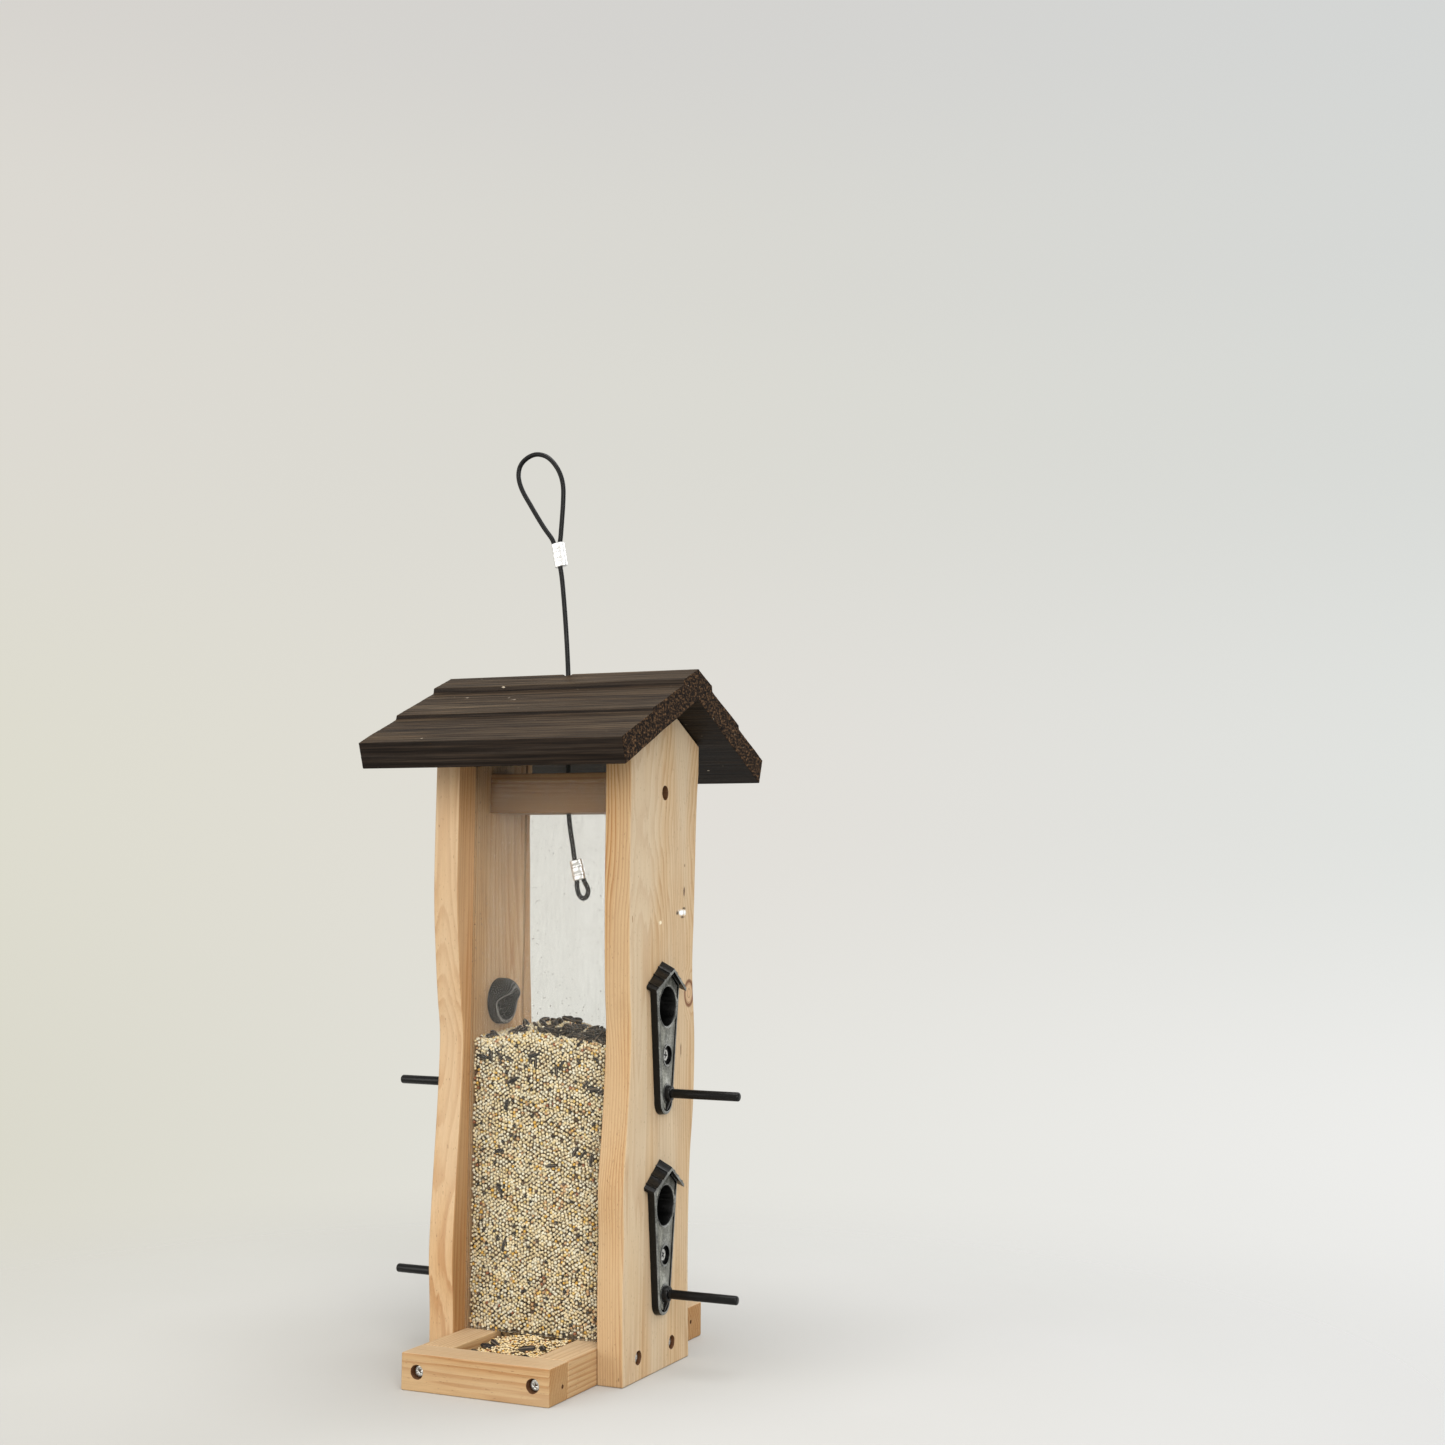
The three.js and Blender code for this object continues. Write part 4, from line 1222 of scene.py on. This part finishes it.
def hood(material, rim):
    """A short tube inside the hopper whose top runs on as a drooping, narrowing visor."""
    steps = [k / HOOD_STEPS for k in range(HOOD_STEPS)]
    stations = [(HOOD_RADIUS - 0.3, 0.0), (HOOD_RADIUS, 0.03)]
    stations += [(HOOD_RADIUS, share) for share in steps[1:]]
    stations += [(HOOD_RADIUS - 0.2, 0.975), (HOOD_RADIUS - 0.7, 1.0)]
    stations += [(HOLE_RADIUS + 0.9, 1.0), (HOLE_RADIUS + 0.3, 0.985)]
    stations += [(HOOD_BORE, share) for share in steps[::-1]]
    bm = loft([hood_ring(*station) for station in stations + stations[:1]], closed_ends=False)
    bmesh.ops.remove_doubles(bm, verts=bm.verts, dist=1e-4)
    lip = (HOOD_STEPS + 1) * HOOD_SIDES  # the first of the faces round the hood's mouth
    # faces round the mouth get the lighter rim material: a painted highlight
    for face in list(bm.faces)[lip:lip + 3 * HOOD_SIDES]:
        face.material_index = 1
    return solid("hood", bm, material, rim)


def add_ports():
    gloss = moulded_plastic("black_plastic", (3, 3, 3), (12, 12, 11), 0.3, 1.4, 0.05)
    face = moulded_plastic("plate_face_texture", (84, 85, 80), (166, 166, 157), 0.4, 1.1, 0.22)
    matt = moulded_plastic("hood_plastic", (9, 9, 8), (32, 31, 29), 0.55, 0.9, 0.3)
    # lighter greys for the plate's rim and the hood's mouth: painted highlights on those edges
    worn = moulded_plastic("plate_rim", (70, 71, 68), (150, 151, 146), 0.38, 1.6, 0.08)
    rim_highlight = moulded_plastic("hood_rim", (70, 69, 66), (140, 138, 133), 0.5, 0.9, 0.2)
    models = {
        "port_plate": port_plate(gloss, face, worn),
        "perch": perch(gloss),
        "port_hood": hood(matt, rim_highlight),
    }
    for side, sign in SIDES.items():
        turn = Matrix.Rotation(0 if sign > 0 else math.pi, 4, "Z")
        for level, height in PORT_HEIGHT.items():
            place = Matrix.Translation(Vector((sign * OUTER_FACE, 0, height)) * MM)
            for kind, model in models.items():
                piece = add_object(f"{side}_{level}_{kind}", model.data.copy())
                piece.matrix_world = place @ turn
                take_place(piece, f"{kind}_{side}_{level}")
    for model in models.values():
        bpy.data.objects.remove(model)


# Panes -----------------------------------------------------------------
def add_panes():
    acrylic = dusty_acrylic()
    for end in ENDS:
        pane = solid(f"{end}_sheet", box(*extent(f"{end}_pane")), acrylic)
        soften(pane, 0.25, 2, 50)
        take_place(even_shading(pane), f"{end}_pane", f"{end}_pane")


# Seed ------------------------------------------------------------------
SEED_RANDOM = np.random.default_rng(83)
MILLET = 1.12  # a grain's radius
GRAIN_PITCH = 2.26
SUNFLOWER = (2.1, 1.35, 4.9)  # half a seed's width, thickness and length
SUNFLOWER_SIDES = 10
SUNFLOWER_RINGS = 8
TRAY_HALF_WIDTH = RAIL_INNER - 0.3
PORT_GRAINS = 330
HEAP_SEEDS = 260
PANE_SEEDS = 9
PANE_CLUSTERS = [(36, 168), (-4, 184), (-28, 186), (30, 128)]
TRAY_SEEDS = 5
CORE_INSET = 4.6  # the dim core lies this far behind the outermost grains


def triangles(bm):
    """The corners and triangles of a bmesh, as arrays."""
    bmesh.ops.triangulate(bm, faces=bm.faces)
    bm.verts.index_update()
    corners = np.array([v.co for v in bm.verts])
    faces = np.array([[v.index for v in f.verts] for f in bm.faces])
    bm.free()
    return corners, faces


def grain_shape():
    """A small smooth grain: a rounded icosahedron."""
    bm = bmesh.new()
    bmesh.ops.create_icosphere(bm, subdivisions=1, radius=1.0)
    return triangles(bm)


def sunflower_shape():
    """A pointed seed along Z, 1 long each way, and each corner's stripe value."""
    heights = [-1 + 2 * r / SUNFLOWER_RINGS for r in range(SUNFLOWER_RINGS + 1)]
    profile = [(math.sqrt(1 - t * t) * (1 - 0.28 * t), t) for t in heights]
    corners, faces = triangles(lathe(profile, SUNFLOWER_SIDES))
    x, y, z = corners.T
    side = np.round(np.arctan2(y, x) / TURN * SUNFLOWER_SIDES) % 5
    stripe = np.where(np.abs(z) > 0.99, 0.15 + 0.05 * z, np.isin(side, (0, 2)))
    return corners, faces, stripe


def copies(name, shape, places, turns, sizes, material):
    """One piece of seed holding a copy of a small shape at each place."""
    corners, faces = shape[:2]
    count = len(places)
    points = np.einsum("nij,nkj->nki", turns, corners[None] * sizes[:, None, :]) + places[:, None]
    index = faces[None] + (np.arange(count) * len(corners))[:, None, None]
    mesh = bpy.data.meshes.new(name)
    mesh.from_pydata(points.reshape(-1, 3) * MM, [], index.reshape(-1, 3), shade_flat=False)
    mesh.update()
    mesh.materials.append(material)
    for stripe in shape[2:]:
        data = mesh.attributes.new("stripe", "FLOAT", "POINT").data
        data.foreach_set("value", np.tile(stripe, count).astype(np.float32))
    take_place(add_object(name, mesh), "seed_fill")


def random_sizes(size, whole, each, count):
    """Sizes that vary as a whole and along each axis, between the lowest and highest share."""
    return size * SEED_RANDOM.uniform(*whole, (count, 1)) * SEED_RANDOM.uniform(*each, (count, 3))


def millet_piece(name, grain, places, material):
    count = len(places)
    sizes = random_sizes(MILLET, (0.82, 1.1), (0.86, 1.08), count)
    draws = SEED_RANDOM.normal(size=(count, 4))
    turns = np.array([Quaternion(draw).normalized().to_matrix() for draw in draws])
    copies(name, grain, places, turns, sizes, material)


def sunflower_piece(name, shape, places, tilt, material, upright=False):
    """Seeds that lie near the level plane, or upright against a pane."""
    turns = lying(len(places), tilt, upright)
    sizes = random_sizes(np.array(SUNFLOWER), (0.85, 1.12), (0.92, 1.08), len(places))
    copies(name, shape, places, turns, sizes, material)


def lying(count, tilt, upright):
    """Turns that lay the seeds' long axes near the level plane, or near the panes' plane."""
    spins = SEED_RANDOM.uniform(0, TURN, count)
    leans = SEED_RANDOM.normal(0, tilt, count)
    turns = []
    for spin, lean in zip(spins, leans):
        x, y, off_plane = math.cos(spin) * math.cos(lean), math.sin(spin) * math.cos(lean), math.sin(lean)
        long_axis = Vector((x, off_plane, y) if upright else (x, y, off_plane))
        turn = long_axis.to_track_quat("Z", "X" if upright else "Y")
        roll = Quaternion((0, 0, 1), float(SEED_RANDOM.uniform(0, TURN)))
        turns.append((turn @ roll).to_matrix())
    return np.array(turns)


def close_packed(x_span, y_span, pitch, jitter):
    """Points over the rectangle of two spans, in slanting staggered rows with a random shift."""
    corner = np.array([x_span[0], y_span[0]])
    size = np.array([x_span[1], y_span[1]]) - corner
    row_step = pitch * 0.87
    reach = size.sum()
    rows = []
    for r in range(int(2 * reach / row_step)):
        u = np.arange((r % 2) * pitch / 2, 2 * reach, pitch) - reach
        rows.append(np.stack([u, np.full(len(u), r * row_step - reach)], 1))
    spots = np.concatenate(rows)
    slant = SEED_RANDOM.uniform(0.3, 0.7)
    turn = np.array([[math.cos(slant), -math.sin(slant)], [math.sin(slant), math.cos(slant)]])
    bend = 0.8 * np.sin(spots[:, ::-1] * 0.21) + 0.5 * np.sin(spots * 0.37 + 1.3)
    spots = (spots + bend) @ turn
    spots = spots + SEED_RANDOM.uniform(-jitter, jitter, spots.shape)
    inside = ((spots >= 0) & (spots <= size)).all(1)
    return (spots[inside] + corner).T


def heap(x, y):
    """Height of the seed in the hopper: level at the panes, piled up left of the middle."""
    back = np.clip((y + PANE_INNER) / (2 * PANE_INNER), 0, 1)
    mound = 8.5 * np.exp(-((x + 15) / 21) ** 2) * np.sin(np.pi * np.clip(back * 0.8 + 0.12, 0, 1))
    level = 194.6 + 1.6 * np.sin(x * 0.075 + 0.6) + 4.6 * back - 11.0 * back * np.clip(x / 44, 0, 1)
    return level + mound


def tray_height(x, y):
    """Height of the seed in a tray: high under the pane, lower at the rail and at the left."""
    out = np.clip((np.abs(y) - PANE_OUTER) / (TRAY_INNER - PANE_OUTER), 0, 1)
    low = np.clip((-x - 2) / 24, 0, 1)
    hollow = 3.4 * out ** 1.4 + 6.5 * low ** 1.6 * (0.35 + 0.65 * out)
    return 20.4 - hollow + 0.8 * np.sin(x * 0.2 + y * 0.12)


def clear_of_hoods(layers):
    """The layers' places in one array, without grains that would lie in a hood or its tube."""
    places = np.concatenate(layers)
    keep = np.ones(len(places), bool)
    for height in PORT_HEIGHT.values():
        from_axis = np.hypot(places[:, 1], places[:, 2] - height)
        beside = np.abs(places[:, 0]) > INNER_FACE - HOOD_REACH - 1
        keep &= ~(beside & (from_axis < HOOD_RADIUS + 0.9))
    return places[keep]


def wall_of_grain(way):
    """Two layers of places against a pane, up to the heap's own edge."""
    across, bottom = INNER_FACE - 1.1, RAIL_TOP + 0.6
    layers = []
    for depth, pitch in ((MILLET + 0.25, GRAIN_PITCH), (MILLET + 2.0, GRAIN_PITCH * 1.12)):
        x, z = close_packed((-across, across), (bottom, bottom + 200), pitch, 0.42)
        y = way * (PANE_INNER - depth - SEED_RANDOM.uniform(0, 0.5, len(x)))
        layers.append(np.stack([x, y, z], 1)[z < heap(x, y) - 0.4])
    return clear_of_hoods(layers)


def top_of_grain():
    across, over = INNER_FACE - 1.3, PANE_INNER - 1.3
    layers = []
    for depth in (0.7, 2.6, 4.4):
        x, y = close_packed((-across, across), (-over, over), GRAIN_PITCH * 1.06, 0.5)
        z = heap(x, y) - depth + SEED_RANDOM.uniform(-0.5, 0.5, len(x))
        layers.append(np.stack([x, y, z], 1))
    return clear_of_hoods(layers)


def tray_of_grain(way):
    across = TRAY_HALF_WIDTH - 1.2
    layers = []
    for depth in (0.4, 2.2):
        x, y = close_packed((-across, across), (PANE_INNER + 1.2, TRAY_INNER - 1.2), GRAIN_PITCH, 0.45)
        z = tray_height(x, way * y) - depth + SEED_RANDOM.uniform(-0.45, 0.45, len(x))
        layers.append(np.stack([x, way * y, z], 1)[z > FLOOR_TOP + MILLET * 0.8])
    return np.concatenate(layers)


def port_grain(sign):
    """Grains that have slid into a lower hood, seen through its hole."""
    x = SEED_RANDOM.uniform(34, 50, PORT_GRAINS)
    y = SEED_RANDOM.uniform(-10, 10, PORT_GRAINS)
    z = -3.5 - 0.42 * (x - 34) - SEED_RANDOM.uniform(0, 2.4, PORT_GRAINS)
    places = np.stack([sign * x, y, z + PORT_HEIGHT["lower"]], 1)
    return places[np.hypot(y, z) < HOLE_RADIUS - 1.2]


def sunflower_on_heap():
    """A loose band of sunflower seeds over the heap's top."""
    x = SEED_RANDOM.uniform(-41, 44, HEAP_SEEDS)
    y = SEED_RANDOM.uniform(-27, 27, HEAP_SEEDS)
    wanted = np.clip((x + 30) / 75, 0.04, 0.6) + 0.2 * (y < -12)
    off_hoods = (np.abs(x) < 29) | (np.abs(y) > 17)
    keep = off_hoods & (SEED_RANDOM.uniform(0, 1, HEAP_SEEDS) < wanted)
    x, y = x[keep], y[keep]
    return np.stack([x, y, heap(x, y) + SEED_RANDOM.uniform(-0.4, 1.0, len(x))], 1)


def sunflower_at_pane(way):
    """Single sunflower seeds and a few clusters showing through a pane."""
    x = SEED_RANDOM.uniform(-42, 42, PANE_SEEDS)
    z = RAIL_TOP + 4 + 166 * SEED_RANDOM.uniform(0, 1, PANE_SEEDS) ** 0.55
    for cluster_x, cluster_z in PANE_CLUSTERS:
        x = np.append(x, np.clip(cluster_x + SEED_RANDOM.normal(0, 4.5, 3), -42, 42))
        z = np.append(z, np.clip(cluster_z + SEED_RANDOM.normal(0, 2.2, 3), RAIL_TOP + 4, 190))
    return np.stack([x, np.full(len(x), way * (PANE_INNER - 1.75)), z], 1)


def sunflower_in_tray(way):
    """Scattered sunflower seeds, and three at chosen places."""
    x = SEED_RANDOM.uniform(-22, 22, TRAY_SEEDS)
    y = SEED_RANDOM.uniform(PANE_OUTER + 5, TRAY_INNER - 5, TRAY_SEEDS)
    x = np.append(x, [-17.0, -20.5, 19.0])
    y = way * np.append(y, [PANE_OUTER + 24, PANE_OUTER + 33, TRAY_INNER - 3.5])
    return np.stack([x, y, tray_height(x, y) + 0.9], 1)


def seed_core(material):
    """The seed out of sight behind the grains: one dim solid down the hopper and out under the panes."""
    half_x = INNER_FACE - 0.3
    half_y = PANE_INNER - CORE_INSET + 0.9
    rows = np.linspace(-half_y, half_y, 15)
    rings = []
    for x in np.linspace(-half_x, half_x, 25):
        top = [(x, y, heap(x, y) - 5.2) for y in rows]
        rings.append(top + [(x, y, RAIL_TOP + 0.4) for y in rows[::-1]])
    core = solid("seed_core", loft(rings), material)
    rings = []
    for y in np.linspace(-TRAY_INNER + 0.4, TRAY_INNER - 0.4, 41):
        ring = [(x, y, FLOOR_TOP + 0.1) for x in (TRAY_HALF_WIDTH, -TRAY_HALF_WIDTH)]
        for x in np.linspace(-TRAY_HALF_WIDTH, TRAY_HALF_WIDTH, 13):
            top_z = RAIL_TOP + 2 if abs(y) < half_y else tray_height(x, y) - 3.0
            ring.append((x, y, max(top_z, FLOOR_TOP + 0.3)))
        rings.append(ring)
    combine(core, "UNION", [solid("channel", loft(rings))])
    pockets = []
    for height in PORT_HEIGHT.values():
        for sign in SIDES.values():
            inner, outer = sign * (INNER_FACE - HOOD_REACH - 0.6), sign * (INNER_FACE + 2)
            pockets.append(across_rod("pocket", HOOD_RADIUS + 0.3, inner, outer, height))
    combine(core, "DIFFERENCE", pockets)
    take_place(even_shading(core), "seed_fill")


def add_seed():
    grain = grain_shape()
    shape = sunflower_shape()
    small_seed = millet("millet", (255, 252, 244), (0, 1, 0), (0.04, 0.22))
    tray_seed = millet("tray_millet", (244, 232, 208), (0, 0, 1), (0.1, 0.46))
    husk = sunflower()
    seed_core(seed_shadow())
    for end, way in ENDS.items():
        millet_piece(f"millet_at_{end}_pane", grain, wall_of_grain(way), small_seed)
        millet_piece(f"millet_in_{end}_tray", grain, tray_of_grain(way), tray_seed)
        places = sunflower_at_pane(way)
        sunflower_piece(f"sunflower_at_{end}_pane", shape, places, 0.12, husk, upright=True)
        sunflower_piece(f"sunflower_in_{end}_tray", shape, sunflower_in_tray(way), 0.25, husk)
    millet_piece("millet_heap", grain, top_of_grain(), small_seed)
    sunflower_piece("sunflower_on_heap", shape, sunflower_on_heap(), 0.3, husk)
    for side, sign in SIDES.items():
        millet_piece(f"millet_in_{side}_port", grain, port_grain(sign), small_seed)


# Floor, backdrop and light ---------------------------------------------
FLOOR_RADIUS = 1600
FADE_RADIUS = 900
TOWARDS_RIGHT = (0.92, 0.4, 0)  # level, across the line of sight
# the backdrop's left, middle and right: height of the line of sight, colour
BACKDROP = [
    [(-0.25, (222, 219, 212)), (-0.12, (219, 217, 204)), (0.05, (222, 220, 207)),
     (0.24, (221, 218, 210)), (0.31, (220, 217, 210)), (0.42, (214, 211, 206))],
    [(-0.25, (228, 228, 222)), (-0.12, (229, 228, 222)), (0.05, (226, 223, 217)),
     (0.24, (219, 218, 211)), (0.31, (217, 216, 210)), (0.42, (212, 211, 208))],
    [(-0.25, (230, 230, 228)), (-0.12, (238, 238, 236)), (0.05, (225, 227, 224)),
     (0.24, (216, 218, 215)), (0.31, (214, 216, 214)), (0.42, (212, 214, 213))],
]
BACKDROP_HALF = 0.34  # from the middle out to either side
AMBIENT = 0.78  # the backdrop's share of the light
WARM = (1.0, 0.985, 0.96)
NEUTRAL = (1, 1, 1)
# name: place and aim in metres, size, power, colour
LIGHTS = {
    "key": ((1.4, -1.9, 1.0), (0, 0, 0.2), 1.4, 34, WARM),
    "fill": ((-1.4, -1.7, 0.7), (0, 0, 0.25), 1.6, 17, WARM),
    "top": ((0.2, -0.3, 2.4), (0, 0, 0.2), 1.6, 38, NEUTRAL),
    "back": ((0.6, 1.8, 1.4), (0, 0, 0.3), 1.6, 16, NEUTRAL),
}


def floor_material():
    """A pale floor that fades into the backdrop with distance from the feeder."""
    tree = Tree("studio_floor")
    place = tree.place((1, 1, 0))
    side = tree.math("DIVIDE", tree.dot(place, TOWARDS_RIGHT), FADE_RADIUS)
    across = tree.ramp(tree.math("ADD", side, 0.5, clamp=True), [
        (0.0, (189, 188, 183)), (0.5, (190, 189, 186)), (1.0, (193, 193, 193)),
    ])
    mottle = tree.ramp(tree.noise(place, 0.004, detail=2.0), [(0.3, (252, 252, 251)), (0.7, WHITE)])
    tree.shade(Base_Color=tree.tinted(across, mottle), Roughness=0.85, Specular_IOR_Level=0.2)
    distance = tree.math("DIVIDE", tree.vector("LENGTH", place, out="Value"), FADE_RADIUS)
    fade = tree.ramp(distance, [(0.2, 0.0), (0.85, 1.0)], "EASE")
    clear = tree.add("BsdfTransparent")
    return tree.show(tree.add("MixShader", {0: fade, 1: tree.shader.outputs[0], 2: clear}))


def add_floor():
    bm = bmesh.new()
    bmesh.ops.create_circle(bm, cap_ends=True, radius=FLOOR_RADIUS, segments=96)
    floor = solid("studio_floor", bm, floor_material())


def add_world():
    """A pale studio: warm grey to the left, cool white low on the right, and a dimmer fill light."""
    world = bpy.data.worlds.new("studio")
    bpy.context.scene.world = world
    tree = Tree("studio", world)

    def ranged(value, low, high):
        return tree.add("MapRange", {"Value": value, "From Min": low, "From Max": high})

    sight = tree.add("TexCoord", out="Generated")
    height = ranged(tree.dot(sight, (0, 0, 1)), -1, 1)
    across = tree.dot(sight, TOWARDS_RIGHT)
    left, centre, right = (
        tree.ramp(height, [((level + 1) / 2, colour) for level, colour in stops], "EASE")
        for stops in BACKDROP
    )
    colour = tree.mix(ranged(across, -BACKDROP_HALF, 0), left, centre)
    colour = tree.mix(ranged(across, 0, BACKDROP_HALF), colour, right)
    seen = tree.add("LightPath", out="Is Camera Ray")
    tree.shade(Color=colour, Strength=tree.add("MapRange", {"Value": seen, "To Min": AMBIENT}))


def add_lights():
    for name, (place, aim_at, size, power, colour) in LIGHTS.items():
        data = bpy.data.lights.new(name, "AREA")
        data.shape = "DISK"
        data.size = size
        data.energy = power
        data.color = colour
        light = add_object(name, data)
        light.location = place
        light.rotation_euler = (Vector(aim_at) - Vector(place)).to_track_quat("-Z", "Y").to_euler()


# Assembly --------------------------------------------------------------
add_camera()
add_cords()
add_timber()
add_roof()
add_ports()
add_fasteners()
add_panes()
add_seed()
add_floor()
add_world()
add_lights()
bpy.context.scene.view_settings.view_transform = "Standard"
